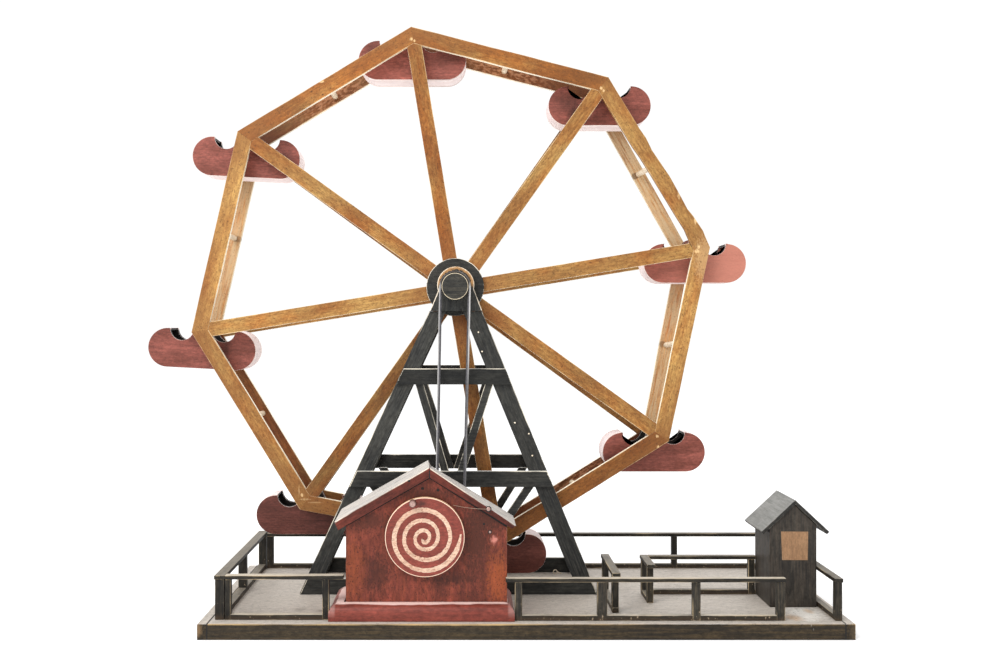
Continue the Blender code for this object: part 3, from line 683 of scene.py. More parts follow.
tower = {
    "arris": 0.0006, "ring": 0.0025, "braceRing": 0.0014, "plainWide": 0.0030, "plainTop": 0.0016,
    "plainFoot": 0.0015, "joint": 0.0001, "onFace": 0.0001,  # a corner this near a face lies on it
    "headMiddle": (-0.0828, 0.4152), "headRadius": 0.0238, "headArc": (-12, 198),
    "tones": {"left_leg": 0.6, "right_leg": 0.4, "upper_crossbar": 0.0, "lower_crossbar": 0.24,
              "foot_crossbar": 0.3},
    "legMoves": {  # at the foot and at the head
        "left": {"outer": (-0.0015, -0.0008), "inner": (-0.0038, -0.0026)},
        "right": {"outer": (0.0006, -0.0003), "inner": (0.0, -0.0024)}},
    "nearInner": 0.004, "nail": (-0.0765, 0.1520, 0.3832), "nailRadius": 0.0019, "chipRadius": 0.0011,
    "chips": ((0.0157, 0.1960), (-0.0068, 0.2383), (0.0112, 0.2242), (0.0304, 0.1677), (-0.0537, 0.3548),
              (-0.0490, 0.3300)),
    "chipDepth": 0.1562, "eye": (0.0447, 0.1500, 0.0480), "eyeRadius": 0.0024, "eyeWire": 0.0006,
    "shank": (0.0060, 0.0024),
}


def endCorners(node):  # the corners on a board's front face, as those at its foot and at its top
    low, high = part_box(node)
    near = tower["onFace"]
    corners = {}
    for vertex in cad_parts[node].data.vertices:
        if vertex.co.y < low.y + near:
            corners[round(vertex.co.x, 5), round(vertex.co.z, 5)] = vertex.co.copy()
    corners = sorted(corners.values(), key=lambda p: p.x)
    feet = [p for p in corners if p.z < low.z + near]
    tops = [p for p in corners if p.z > high.z - near]
    return feet, tops, [p for p in corners if p not in feet and p not in tops]


def addBrace(shells, node):  # two laths that meet at the foot of a V
    low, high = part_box(node)
    feet, tops, others = endCorners(node)
    foot, crotch = (feet[0] + feet[-1]) / 2, others[0]
    joint = across * tower["joint"]
    push = inward * (high.y - low.y)
    for outline in ([feet[0], foot - joint, crotch - joint, tops[1], tops[0]],
                    [foot + joint, feet[-1], tops[3], tops[2], crotch + joint]):
        addBoard(shells, outline, push, outline[3] - outline[2], tower["arris"], tower["braceRing"])


def innerSide(node):  # the inner side of a leg, as its x at a height
    low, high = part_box(node)
    feet, tops = endCorners(node)[:2]
    k = -1 if "left" in node else 0
    foot, head = feet[k].x, tops[k].x
    return lambda z: foot + (head - foot) * (z - low.z) / (high.z - low.z)


def moveLeg(node):  # the legs are sawn a little unevenly
    low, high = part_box(node)
    inner = innerSide(node)
    moves = tower["legMoves"]["left" if "left" in node else "right"]

    def move(point):
        if node == "back_tower_right_leg":
            return Vector()
        foot, head = moves["inner" if abs(point.x - inner(point.z)) < tower["nearInner"] else "outer"]
        return across * (foot + (head - foot) * (point.z - low.z) / (high.z - low.z))

    return move


def plainEdges(node):  # a leg's top end and inner side are not rubbed, nor a crossbar's underside
    low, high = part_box(node)
    if not node.endswith("leg"):
        return lambda point: point.z < low.z + tower["plainWide"]
    inner, move = innerSide(node), moveLeg(node)

    def plain(point):
        x = inner(point.z)
        off = point.x - x - move(Vector((x, 0, point.z))).x
        return point.z > high.z - tower["plainTop"] or abs(off) < tower["plainWide"]

    return plain


def makeTowers():
    for where in ("front_tower_", "back_tower_"):
        for part in ("upper_brace", "lower_brace"):
            shells = newShells()
            addBrace(shells, where + part)
            makePiece(shells, where + part + "_laths", "tower", where + part)
        for part, tone in tower["tones"].items():
            node = where + part
            paintNode(node, "tower", None, tower["arris"], tower["ring"], tint=(tone, 0.5),
                      dull=plainEdges(node), reshape=moveLeg(node) if "leg" in part else None)
        low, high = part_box(where + "head")
        outline = [(low.x, low.z), (high.x, low.z)]
        outline += arcPoints(*tower["headMiddle"], tower["headRadius"], *tower["headArc"], 24)
        shells = newShells()
        addBoard(shells, flat(outline, low.y), inward * (high.y - low.y), upward, tower["arris"],
                 tower["ring"], dull=lambda point: point.z < low.z + tower["plainFoot"])
        makePiece(shells, where + "head_painted", "head", where + "head")
    nail, chips = newShells(), newShells()
    addDome(nail, at(*tower["nail"]), tower["nailRadius"])
    makePiece(nail, "tower_nail", "dark")
    for x, z in tower["chips"]:
        addDome(chips, at(x, tower["chipDepth"], z), tower["chipRadius"], height=0.2, steps=7, rings=2)
    makePiece(chips, "tower_chips", "pale")
    x, depth, z = tower["eye"]  # a small screw eye on the foot crossbar
    radius = tower["eyeRadius"]
    ring = [at(px, depth, pz) for px, pz in circlePoints(x, z, radius, 24)]
    tube("tower_screw_eye", ring, tower["eyeWire"], "pale", True)
    long, drop = tower["shank"]
    tube("tower_screw_shank", [at(x + radius, depth, z), at(x + radius + long, depth, z - drop)],
         tower["eyeWire"], "pale")


# Wheel: eight rim laths and four laths across, on each of two frames

wheel = {
    "hub": (-0.0836, 0.4132),
    "corners": ((0.3358, 8.9), (0.3385, 53.9), (0.3441, 99.6), (0.3488, 144.4),
                (0.3485, 189.7), (0.3532, 235.1), (0.3445, 279.2), (0.3429, 324.2)),  # radius, degrees
    "pins": ((0.3183, 10.5), (0.3253, 54.9), (0.3313, 99.9), (0.3386, 144.3),
             (0.3381, 189.4), (0.3345, 235.0), (0.3292, 278.6), (0.3218, 323.5)),
    "rimWide": {"front": 0.0205, "back": 0.0180}, "spokeWide": 0.0190, "lathThick": 0.0070,
    "arris": 0.0005, "ring": 0.0020, "seam": 0.0016, "wave": 0.0005, "clear": 0.0003,
    "backMoves": (  # the back frame's corners, from the front's
                  (-0.0089, -0.0036), (-0.0041, 0.0029), (-0.0003, 0.0013), (0.0003, 0.0014),
                  (0.0001, -0.0012), (-0.0008, -0.0010), (0.0004, -0.0014), (-0.0045, -0.0043)),
    "outerWaves": ((0.05, 0.0016), (0.09, 0.0033), (0.18, 0.0022), (0.225, 0.0003), (0.29, 0.0012),
                   (0.41, 0.0024), (0.5, 0.0010), (0.57, 0.0), (0.64, 0.0016), (0.7, 0.0004)),
    "innerWaves": ((0.12, 0.0038), (0.2, 0.0032), (0.5, 0.0026), (0.58, 0.0022), (0.64, 0.0010),
                   (0.8, 0.0003)),  # the worn lath's edges: share of its length, reach
    "rimTints": {  # light or dark, reddish or golden
        "front": ((0.54, 0.9), (0.32, 0.0), (0.46, 0.05), (0.76, 1.0), (0.42, 0.6), (0.3, 0.4), (0.16, 0.0),
                  (0.74, 1.0)),
        "back": ((0.95, 0.9), (0.04, 0.1), (0.02, 0.1), (0.9, 0.9), (0.13, 0.2), (0.13, 0.2), (0.0, 0.1),
                 (0.9, 0.9))},
    "spokeTints": ((0.50, 0.9), (0.42, 0.7), (0.32, 0.4), (0.46, 0.7), (0.52, 0.9), (0.1, 0.3), (0.16, 0.3),
                   (0.42, 0.6)), "shaded": 0.2,
    "dowelRadius": 0.0037, "dowelArris": 0.0004, "dowelRing": 0.001,
    "pinRadius": 0.0025, "pinArris": 0.0003, "joint": 0.00002, "bend": 12,
}


def roundHub(radius, degrees):
    angle = math.radians(degrees)
    x, z = wheel["hub"]
    return Vector((x + radius * math.cos(angle), z + radius * math.sin(angle)))


def rimCorner(k, where="front"):
    place = roundHub(*wheel["corners"][k % 8])
    return place + Vector(wheel["backMoves"][k % 8]) if where == "back" else place


def wavyEdge(start, end, waves):  # points between two corners, each pushed outwards
    along = (end - start).normalized()
    return [start.lerp(end, share) + Vector((along.y, -along.x)) * reach for share, reach in waves]


def smallWaves(seed):
    return [(i / 7, wheel["wave"] * noise.noise((seed * 3.7, i * 0.9, 0.5))) for i in range(1, 7)]


def movedLeft(start, end, distance):
    along = (end - start).normalized()
    return start + Vector((-along.y, along.x)) * distance, along


def crossing(first, second):
    (start, along), (other, otherWay) = first, second
    return start + along * ((other - start).cross(otherWay) / along.cross(otherWay))


def lathOutlines(where):  # for each lath: its outline, its direction and its joints
    rims, spokes = [], []
    gap = wheel["joint"]
    centre = Vector(wheel["hub"])
    wide = wheel["rimWide"][where]
    corner = [rimCorner(k, where) for k in range(8)] * 3
    for k in range(8, 16):
        inner = [movedLeft(corner[j], corner[j + 1], wide) for j in (k - 1, k, k + 1)]
        along = inner[1][1]
        outer = [corner[k] + along * gap, corner[k + 1] - along * gap]
        under = [crossing(inner[0], inner[1]) + along * gap, crossing(inner[1], inner[2]) - along * gap]
        worn = where == "front" and k == 8
        waves = wheel["outerWaves"] if worn else smallWaves(k)
        innerWaves = wheel["innerWaves"] if worn else smallWaves(k + 20)
        outline = [outer[0]] + wavyEdge(*outer, waves) + [outer[1]]
        outline += [under[1]] + list(reversed(wavyEdge(*under, innerWaves))) + [under[0]]
        rims.append((outline, along, [(outer[0], under[0]), (outer[1], under[1])]))
        half = wheel["spokeWide"] / 2
        lines = {(j - k, side): movedLeft(corner[j + 4], corner[j], side * (half - gap))
                 for j in (k - 1, k, k + 1) for side in (-1, 1)}
        left, right = lines[0, 1], lines[0, -1]
        before = movedLeft(corner[k - 1], corner[k], wide + gap)
        after = movedLeft(corner[k], corner[k + 1], wide + gap)
        outline = [crossing(right, lines[-1, 1]), crossing(right, before), crossing(before, after),
                   crossing(left, after), crossing(left, lines[1, -1]), centre + left[1] * 2 * gap]
        spokes.append((outline, left[1], [(outline[i], outline[(i + 1) % 6]) for i in (1, 2, 4, 5)]))
    return rims, spokes


def addLath(shells, lath, face, tint, sides):
    outline, along, joints = lath

    def seam(point):
        point = Vector((point.x, point.z))
        offs = [(point - a).dot(Vector((a.y - b.y, b.x - a.x)).normalized()) for a, b in joints]
        return min(abs(off) for off in offs) < wheel["seam"]

    addBoard(shells, flat(outline, face), inward * wheel["lathThick"], Vector((along.x, 0, along.y)),
             wheel["arris"], wheel["ring"], wheel["bend"], tint=tint, sides=sides, dull=seam)


def makeWheel():
    for where, finish in (("front", "lath"), ("back", "backLath")):
        rims, spokes = lathOutlines(where)
        node = where + "_wheel_frame"
        low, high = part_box(node)
        face = low.y if where == "front" else high.y - wheel["lathThick"]
        rimTints, spokeTints = wheel["rimTints"][where], wheel["spokeTints"]
        for name, laths, tints in (("rim", rims, rimTints), ("spokes", spokes, spokeTints)):
            shaded = wheel["shaded"] if (where, name) == ("back", "spokes") else 0  # by the front spokes
            shells = newShells()
            for k, (lath, (tone, warm)) in enumerate(zip(laths, tints)):
                sides = 0.0 if (where, name, k) == ("front", "rim", 0) else 1.0
                addLath(shells, lath, face, (tone - shaded, warm), sides)
            makePiece(shells, where + "_wheel_" + name, finish if name == "rim" else "lath", node, "wheel")
    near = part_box("front_wheel_frame")[1].y + wheel["clear"]
    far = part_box("back_wheel_frame")[1].y - wheel["lathThick"]
    dowels, pins = newShells(), newShells()
    for k in range(8):
        ends = []
        for where, depth in (("front", near), ("back", far)):
            start, end = rimCorner(k, where), rimCorner(k + 1, where)
            place = movedLeft((start + end) / 2, end, wheel["rimWide"][where] / 2)[0]
            ends.append(Vector((place.x, depth, place.y)))
        outline = circlePoints(ends[0].x, ends[0].z, wheel["dowelRadius"], 24)
        addBoard(dowels, flat(outline, near), ends[1] - ends[0], inward, wheel["dowelArris"],
                 wheel["dowelRing"])
        pin = roundHub(*wheel["pins"][k])
        addRound(pins, pin.x, pin.y, wheel["pinRadius"], near, far, 16, wheel["pinArris"])
    makePiece(dowels, "spreader_dowels", "pale", "back_wheel_frame", "wheel")
    makePiece(pins, "gondola_pins", "steel", "back_wheel_frame", "wheel")


# Hub discs, axle and pulleys

def middleOf(node):  # a turned piece's middle, seen from the front, and its radius
    low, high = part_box(node)
    return (low.x + high.x) / 2, (low.z + high.z) / 2, (high.z - low.z) / 2


def roundNode(node, finish, body, steps=64, arris=0.0006, ring=0.0016, front=None, tone=0.5):
    low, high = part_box(node)
    shells = newShells()
    addRound(shells, *middleOf(node), low.y if front is None else front, high.y, steps, arris, ring,
             tint=(tone, 0.5))
    makePiece(shells, node + "_turned", finish, node, body)


pulley = {"flange": 0.27, "groove": 0.0010, "frontArris": 0.0004, "frontRing": 0.0008, "backArris": 0.0005}


def makePulley(node, body):
    low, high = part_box(node)
    x, z, radius = middleOf(node)
    flange = (high.y - low.y) * pulley["flange"]
    shells = newShells()
    addRound(shells, x, z, radius, low.y, low.y + flange, 64, pulley["frontArris"], pulley["frontRing"])
    addRound(shells, x, z, radius - pulley["groove"], low.y + flange, high.y - flange, 64, 0)
    addRound(shells, x, z, radius, high.y - flange, high.y, 64, pulley["backArris"])
    makePiece(shells, node + "_turned", "pulley", node, body)


def makeTurned():
    for node in ("front_hub_disc", "back_hub_disc"):
        roundNode(node, "tower", "wheel", tone=0.34)
    roundNode("axle", "pale", "wheel", 32)
    makePulley("axle_pulley", "wheel")
    makePulley("drive_pulley", "crank")


# Gondolas: two cut-out side boards, a strip round the ends and bottom, black inside

gondola = {
    "length": 0.1420, "high": 0.0515, "wide": 0.0500, "side": 0.0060, "strip": 0.0030,
    "notch": 0.0155, "notchOut": 0.0276, "notchClear": 0.0008, "hump": 0.0080, "humpDrop": 0.0020,
    "arris": 0.0005, "ring": 0.0018, "gap": 0.0001,
    "tilts": (0, 0, 0, 3, 3, 0, 0, 0),
    "cut": (0.007, 0.007, 0, 0, 0, 0, 0, 0.007),  # how much shorter the left end is
    # light or dark; a second number above 0.5 adds the painted reflection at the right end
    "tints": ((0.98, 1.0), (0.48, 0.5), (0.98, 0.5), (0.5, 0.5), (0.42, 0.5), (-0.05, 0.5), (0.2, 0.5),
              (0.58, 0.5)),
    "blackAbove": -0.0165, "notchEdge": 0.0003, "faceEdge": 0.0006, "outerEdge": 0.0005,
    "bend": 34, "stripArris": 0.0003, "stripRing": 0.001,
}


def notchPlace(reach):  # the notches' middles, kept clear of the rounded ends
    return min(gondola["notchOut"], reach - gondola["notch"] - gondola["notchClear"])


def gondolaOutline(reach):
    radius, notch, out = gondola["high"] / 2, gondola["notch"], notchPlace(reach)
    points = arcPoints(-reach, -radius, radius, 90, 270, 24)
    points += arcPoints(reach, -radius, radius, -90, 90, 24)
    points += arcPoints(out, 0, notch, 0, -150, 18)
    points += arcPoints(0, -gondola["humpDrop"], gondola["hump"] + gondola["humpDrop"], 30, 150, 10)
    return points + arcPoints(-out, 0, notch, -30, -180, 18)


def gondolaStrip(reach, radius):
    middle = gondola["high"] / 2
    return arcPoints(-reach, -middle, radius, 88, 270, 24) + arcPoints(reach, -middle, radius, -90, 92, 24)


def makeGondola(k, front):
    name = "gondola_" + str(k + 1)
    pin = roundHub(*wheel["pins"][k]) + Vector((gondola["cut"][k] / 2, 0))
    radius, side = gondola["high"] / 2, gondola["side"]
    reach = (gondola["length"] - gondola["cut"][k] - gondola["high"]) / 2
    tilt = Matrix.Rotation(math.radians(gondola["tilts"][k]), 4, "Y")

    def placed(points, y):
        return [tilt @ Vector((x, 0, z)) + Vector((pin.x, y, pin.y)) for x, z in points]

    boards = newShells()
    for y, facing in ((front, 1), (front + gondola["wide"] - side, -1)):

        def within(centre, normal):  # the inner face, and the inside of the notches
            off = tilt.inverted() @ (centre - Vector((pin.x, 0, pin.y)))
            if normal.y * facing > 0.5:
                return True
            notched = abs(off.x) < notchPlace(reach) + gondola["notch"] - gondola["notchEdge"]
            between = abs(centre.y - y - side / 2) < side / 2 - gondola["faceEdge"]
            return notched and between and off.z > gondola["blackAbove"]

        addBoard(boards, placed(gondolaOutline(reach), y), inward * side, tilt @ across, gondola["arris"],
                 gondola["ring"], gondola["bend"], tint=gondola["tints"][k], inside=within)
    makePiece(boards, name + "_boards", "gondola", name, name)
    near = front + side + gondola["gap"]
    heart = Vector((pin.x, near, pin.y - radius))

    def hollow(centre, normal):
        spoke = centre - heart
        spoke.x = max(abs(spoke.x) - reach, 0) * math.copysign(1, spoke.x)
        return normal.x * spoke.x + normal.z * spoke.z < -gondola["outerEdge"]

    strip = newShells()
    addBand(strip, placed(gondolaStrip(reach, radius), near),
            placed(gondolaStrip(reach, radius - gondola["strip"]), near),
            inward * (gondola["wide"] - 2 * side - 2 * gondola["gap"]), tilt @ across,
            gondola["stripArris"], gondola["stripRing"], gondola["bend"], inside=hollow)
    makePiece(strip, name + "_strip", "gondolaSkin", name, name)


def makeGondolas():
    front = (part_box("front_wheel_frame")[0].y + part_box("back_wheel_frame")[1].y) / 2 - gondola["wide"] / 2
    for k in range(8):
        makeGondola(k, front)


# Belt: one loop over both pulleys and past two guide pegs

belt = {"smoothing": 1}


def makeBelt():
    bm = bmesh.new()
    bm.from_mesh(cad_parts["drive_belt"].data)
    bmesh.ops.remove_doubles(bm, verts=bm.verts, dist=shell["weld"])
    mesh = bpy.data.meshes.new("drive_belt_round")
    bm.to_mesh(mesh)
    bm.free()
    mesh.materials.clear()
    mesh.materials.append(finishes["belt"])
    mesh.shade_smooth()
    piece = bpy.data.objects.new("drive_belt_round", mesh)
    fine = piece.modifiers.new("round", "SUBSURF")
    fine.levels = belt["smoothing"]
    fine.render_levels = belt["smoothing"]
    settle(piece, "drive_belt")


# Crank: a disc with a painted spiral, and a knob

crank = {
    "spiralOff": (-0.0003, -0.0018),  # the spiral's middle from the disc's
    # its radius at each quarter turn, from the left of the middle
    "spiral": (0.0020, 0.0042, 0.0052, 0.0100, 0.0110, 0.0122, 0.0155, 0.0216, 0.0238, 0.0243, 0.0298,
               0.0339, 0.0354, 0.0368, 0.0415, 0.0600),
    "turns": 14.08, "steps": 26,  # quarter turns, and steps in each
    "lineWide": (0.0040, 0.0052), "lineThick": 0.00025, "lineSink": 0.0001, "ragged": 0.0006,
    "lineRing": 0.0007, "discRing": 0.0011, "shaftArris": 0.0004,
    "knobArris": 0.0012, "knobRing": 0.001, "faceInset": 0.0011, "faceProud": 0.0002,
}


def spiralRadius(turn):  # smooth through the quarter turns
    radii = crank["spiral"]
    i = min(int(turn), len(radii) - 2)
    t = turn - i
    a, b = radii[max(i - 1, 0)], radii[i]
    c, d = radii[i + 1], radii[min(i + 2, len(radii) - 1)]
    return b + 0.5 * t * (c - a + t * (2 * a - 5 * b + 4 * c - d + t * (3 * (b - c) + d - a)))


def spiralEdges():  # both edges of the painted line, with tapered ends
    x, z = Vector(middleOf("crank_disc")[:2]) + Vector(crank["spiralOff"])
    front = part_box("crank_disc")[0].y - crank["lineThick"]
    turns = crank["turns"]
    steps = int(crank["steps"] * turns)
    left, right = [], []
    for i in range(steps + 1):
        turn = i * turns / steps
        angle = (turn - 2) * math.pi / 2
        r = spiralRadius(turn)
        ends = min(1.0, 0.6 + turn, (turns - turn) * 2.2 + 0.35)
        inner, outer = crank["lineWide"]
        swell = 1 + 0.2 * noise.noise((turn * 1.7, 0.3, 0.9))
        wide = (inner + (outer - inner) * turn / turns) * ends * swell
        for edge, side in ((left, 0.5), (right, -0.5)):
            ragged = crank["ragged"] * noise.noise((turn * r * 900, side * 7, 2.0))
            reach = r + side * wide + ragged
            edge.append(Vector((x + reach * math.cos(angle), front, z + reach * math.sin(angle))))
    return left, right


def makeCrank():
    roundNode("crank_disc", "disc", "crank", 96, ring=crank["discRing"])
    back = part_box("crank_disc")[1].y
    roundNode("crank_shaft", "pale", "crank", 32, crank["shaftArris"], front=back)
    line, knob, face = newShells(), newShells(), newShells()
    push = inward * (crank["lineThick"] + crank["lineSink"])
    addBand(line, *spiralEdges(), push, across, 0, crank["lineRing"], 26)
    makePiece(line, "crank_spiral", "cream", body="crank")
    low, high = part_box("crank_handle")
    x, z, radius = middleOf("crank_handle")
    addRound(knob, x, z, radius, low.y, high.y, 24, crank["knobArris"], crank["knobRing"])
    makePiece(knob, "crank_handle_turned", "knob", "crank_handle", "crank")
    half = crank["faceProud"]
    radius -= crank["faceInset"]
    addRound(face, x, z, radius, low.y - half, low.y + half, 24, 0, crank["knobRing"])
    makePiece(face, "crank_handle_face", "steel", body="crank")


# Engine house

house = {
    "ridge": (-0.1125, 0.1845), "eave": 0.1255, "leftEave": 0.1277, "rightEave": 0.1265,
    "roofDrop": 0.0006, "arris": 0.0007, "ring": 0.003, "wallPlain": 0.001, "roofArris": 0.0008,
    "plinthArris": 0.0005, "plinthRing": 0.002,
    "pegs": ((-0.1122, 0.1500), (-0.0773, 0.1460)), "pegRadius": 0.0030, "pegSunk": 0.001,
    "pegArris": 0.0004,
    "nails": ((-0.0434, 0.0188, 0.1484, 0.0026), (-0.0415, 0.0248, 0.1204, 0.0015)),  # place and radius
    "holes": ((-0.0434, 0.0188, 0.1484, 0.0036, 0.1), (-0.0415, 0.0248, 0.1204, 0.0024, 0.1),
              (-0.0485, 0.0248, 0.1298, 0.0013, 0.15), (-0.1365, 0.0188, 0.1812, 0.0014, 0.15),
              (-0.1209, 0.0248, 0.1716, 0.0016, 0.15), (-0.1027, 0.0248, 0.1698, 0.0016, 0.15)),  # and rise
    "wire": ((-0.0434, 0.0178, 0.1484), (-0.0850, 0.0235, 0.1522)), "wireRadius": 0.0003, "wireSag": 0.0012,
    "gapWide": (0.0006, 0.0036), "gapDeep": (0.0010, 0.0012), "gapProud": 0.0003, "gapThick": 0.0004,
    "splitProud": 0.0002,
    "split": (0.0006, 0.0002, 0.0092),  # the roof boards' joint: half its width, its foot and its top
    "crooked": {  # how far each edge of a roof board is raised, at the ridge and at the eave
        "left": {"frontTop": (0.0035, 0.0045), "backTop": (0.0025, 0.0073), "under": (0.0017, 0.0028)},
        "right": {"frontTop": (0.0022, 0.0012), "backTop": (-0.0055, 0.0), "under": (0.0015, 0.0060)}},
    "endMoves": {"left": 0.0020, "right": -0.0015}, "ridgeMove": 0.0040, "wallMove": 0.0021,
    "underWide": 0.0035, "plainEnds": (0.04, 0.965),
}


def roofMoves(node):  # each roof board is a little crooked
    low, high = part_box(node)
    x = house["ridge"][0]
    side = node.split("_")[-1]
    end = low.x if side == "left" else high.x
    corners = [v.co.copy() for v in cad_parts[node].data.vertices]

    def moveCorner(point):
        share = (point.x - x) / (end - x)
        here = [c.z for c in corners if abs(c.x - point.x) < 0.006]
        back = point.y > (low.y + high.y) / 2
        top = point.z > (min(here) + max(here)) / 2
        ridge, eave = house["crooked"][side][("backTop" if back else "frontTop") if top else "under"]
        aside = house["endMoves"][side] * share
        if side == "left" and back and top:
            aside -= house["ridgeMove"] * (1 - share)
        return Vector((aside, 0, ridge + (eave - ridge) * share))

    return moveCorner


def underRoof(point):  # the roof boards' lower edges and their ends
    x, z = house["ridge"]
    side, k = ("left", 0) if point.x < x else ("right", 1)
    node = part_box("house_roof_" + side)
    share = (point.x - x) / (node[k].x - x)
    ridge, eave = house["crooked"][side]["under"]
    under = z + ridge + (node[0].z + eave - z - ridge) * share
    first, last = house["plainEnds"]
    return point.z < under + house["underWide"] or share < first or share > last


def makeWalls():
    near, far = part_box("house_front_wall")
    thick, drop = far.y - near.y, house["roofDrop"]
    x, z = house["ridge"]
    for node in ("house_front_wall", "house_back_wall"):
        low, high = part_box(node)
        left, right = low.x + house["wallMove"], high.x + house["wallMove"]
        outline = [(left, low.z), (right, low.z), (right, house["rightEave"] - drop), (x, z - drop),
                   (left, house["leftEave"] - drop)]
        shells = newShells()
        addBoard(shells, flat(outline, low.y), inward * thick, upward, house["arris"], house["ring"],
                 dull=lambda point: point.z > house["eave"] - house["wallPlain"])
        if node == "house_back_wall":
            start = low.y + thick - house["pegSunk"]
            for px, pz in house["pegs"]:
                addRound(shells, px, pz, house["pegRadius"], start, high.y, 24, house["pegArris"])
        makePiece(shells, node + "_painted", "house", node)
    for node in ("house_left_wall", "house_right_wall"):
        paintNode(node, "house", upward, house["arris"], house["ring"],
                  reshape=lambda point: across * house["wallMove"])


def makeHouse():
    makeWalls()
    for node, rise in (("house_roof_left", 1), ("house_roof_right", -1)):
        low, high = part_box(node)
        slope = Vector((high.x - low.x, 0, (high.z - low.z) * rise))
        paintNode(node, "roof", slope, house["roofArris"], house["ring"], reshape=roofMoves(node),
                  dull=underRoof)
    paintNode("house_plinth", "plinth", across, house["plinthArris"], house["plinthRing"], 30,
              dull=lambda point: True)
    nails, holes = newShells(), newShells()
    for *place, radius in house["nails"]:
        addDome(nails, at(*place), radius)
    for *place, radius, height in house["holes"]:
        addDome(holes, at(*place), radius, height)
    x, z = house["ridge"]
    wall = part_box("house_front_wall")
    ridge = Vector((x, wall[0].y - house["gapProud"], z))
    wide, deep = house["gapWide"], house["gapDeep"]
    for k, eave in enumerate((house["leftEave"], house["rightEave"])):
        start = Vector((wall[k].x + house["wallMove"], ridge.y, eave))  # a dark strip painting the shadow in the gap under the roof
        outline = [start + upward * wide[k], ridge + upward * wide[0], ridge - upward * deep[1],
                   start - upward * deep[0]]
        addBoard(holes, outline, inward * house["gapThick"], ridge - start, 0, 0)
    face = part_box("house_roof_left")[0].y - house["splitProud"]
    half, foot, top = house["split"]
    corners = (x - half, face, z - foot), (x + half, face + house["gapThick"], z + top)
    addStick(holes, *corners, upward, 0, 0)
    makePiece(nails, "house_nails", "steel")
    makePiece(holes, "house_holes_and_roof_shadow", "dark")
    start, end = [at(*place) for place in house["wire"]]
    sag = upward * house["wireSag"]
    points = [start.lerp(end, t / 8) - sag * math.sin(math.pi * t / 8) for t in range(9)]
    tube("house_wire", points, house["wireRadius"], "cream")


# Ticket booth

booth = {
    "ridge": (0.3328, 0.1442), "slope": 0.93, "roofDrop": 0.0006, "arris": 0.0006, "ring": 0.0025,
    "patch": ((0.3160, 0.1112), (0.3492, 0.1110), (0.3486, 0.0762), (0.3174, 0.0764)),
    "patchProud": 0.0002, "patchThick": 0.0003, "patchArris": 0.0001, "patchRing": 0.0008,
    "knot": (0.3013, 0.0819, 0.1118), "knotRadius": 0.0016, "knotHeight": 0.15,
}


def makeBooth():
    low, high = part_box("booth_body")
    x, z = booth["ridge"]
    outline = [(low.x, low.z), (high.x, low.z)]
    outline += [(px, z - booth["slope"] * abs(px - x) - booth["roofDrop"]) for px in (high.x, x, low.x)]
    body, patch, knot = newShells(), newShells(), newShells()
    addBoard(body, flat(outline, low.y), inward * (high.y - low.y), upward, booth["arris"], booth["ring"])
    makePiece(body, "booth_body_painted", "booth", "booth_body")
    for node in ("booth_roof_left", "booth_roof_right"):
        paintNode(node, "boothRoof", inward)
    addBoard(patch, flat(booth["patch"], low.y - booth["patchProud"]), inward * booth["patchThick"],
             upward, booth["patchArris"], booth["patchRing"])
    makePiece(patch, "booth_patch", "patch")
    addDome(knot, at(*booth["knot"]), booth["knotRadius"], booth["knotHeight"])
    makePiece(knot, "booth_knot", "dark")


# Fences: a rail on posts that stand on a sill

fences = {
    "left": -0.3650, "right": 0.3705, "back": 0.3270, "entrance": 0.3042,
    "thick": 0.0045, "wideLeft": 0.0125, "wide": 0.0100, "sill": 0.0060, "inset": 0.0010, "post": 0.0090,
    "gap": 0.0003, "joint": 0.0001, "ring": 0.0011, "cornerPlain": 0.0016,
    # how much of each rail's top is painted paler: scuffs, and painted highlight
    "railTone": 0.4, "scuffAndHighlight": 0.3, "frontScuffAndHighlight": 0.9,
}


def makeFence(node, along, posts, wide, sill=None, tone=0.5):
    # posts are (start, width); the rail's reach and height come from the node
    low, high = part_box(node)
    axis = 0 if along == across else 1
    other = 1 - axis
    shift = 0.0 if axis == 0 else deckFront
    railLow = high.z - fences["thick"]
    scuffAndHighlight = fences["frontScuffAndHighlight" if node.startswith("front") else "scuffAndHighlight"]
    shells = newShells()

    def corner(point):  # where the left fence meets the front and back ones
        return abs(point.x - fences["left"] - fences["wideLeft"]) < fences["cornerPlain"]

    def stick(start, end, zLow, zHigh, inset, direction, tone=fences["railTone"]):
        a, b = low.copy(), low.copy()
        a[axis], b[axis] = start, end
        a[other], b[other] = low[other] + inset, low[other] + wide - inset
        a.z, b.z = zLow, zHigh
        addStick(shells, a, b, direction, ring=fences["ring"], dull=corner, tint=(tone, scuffAndHighlight))

    stick(low[axis], high[axis], railLow, high.z, 0, along)
    joint = fences["joint"]
    sillStart, sillEnd = sill if sill else (low[axis] - shift, high[axis] - shift)
    stick(sillStart + shift + joint, sillEnd + shift - joint, low.z, low.z + fences["sill"] - joint,
          fences["inset"] + joint, along)
    for start, long in posts:
        stick(start + shift, start + long + shift, low.z, railLow - joint, fences["inset"], upward, tone)
    makePiece(shells, node + "_painted", "fence", node)


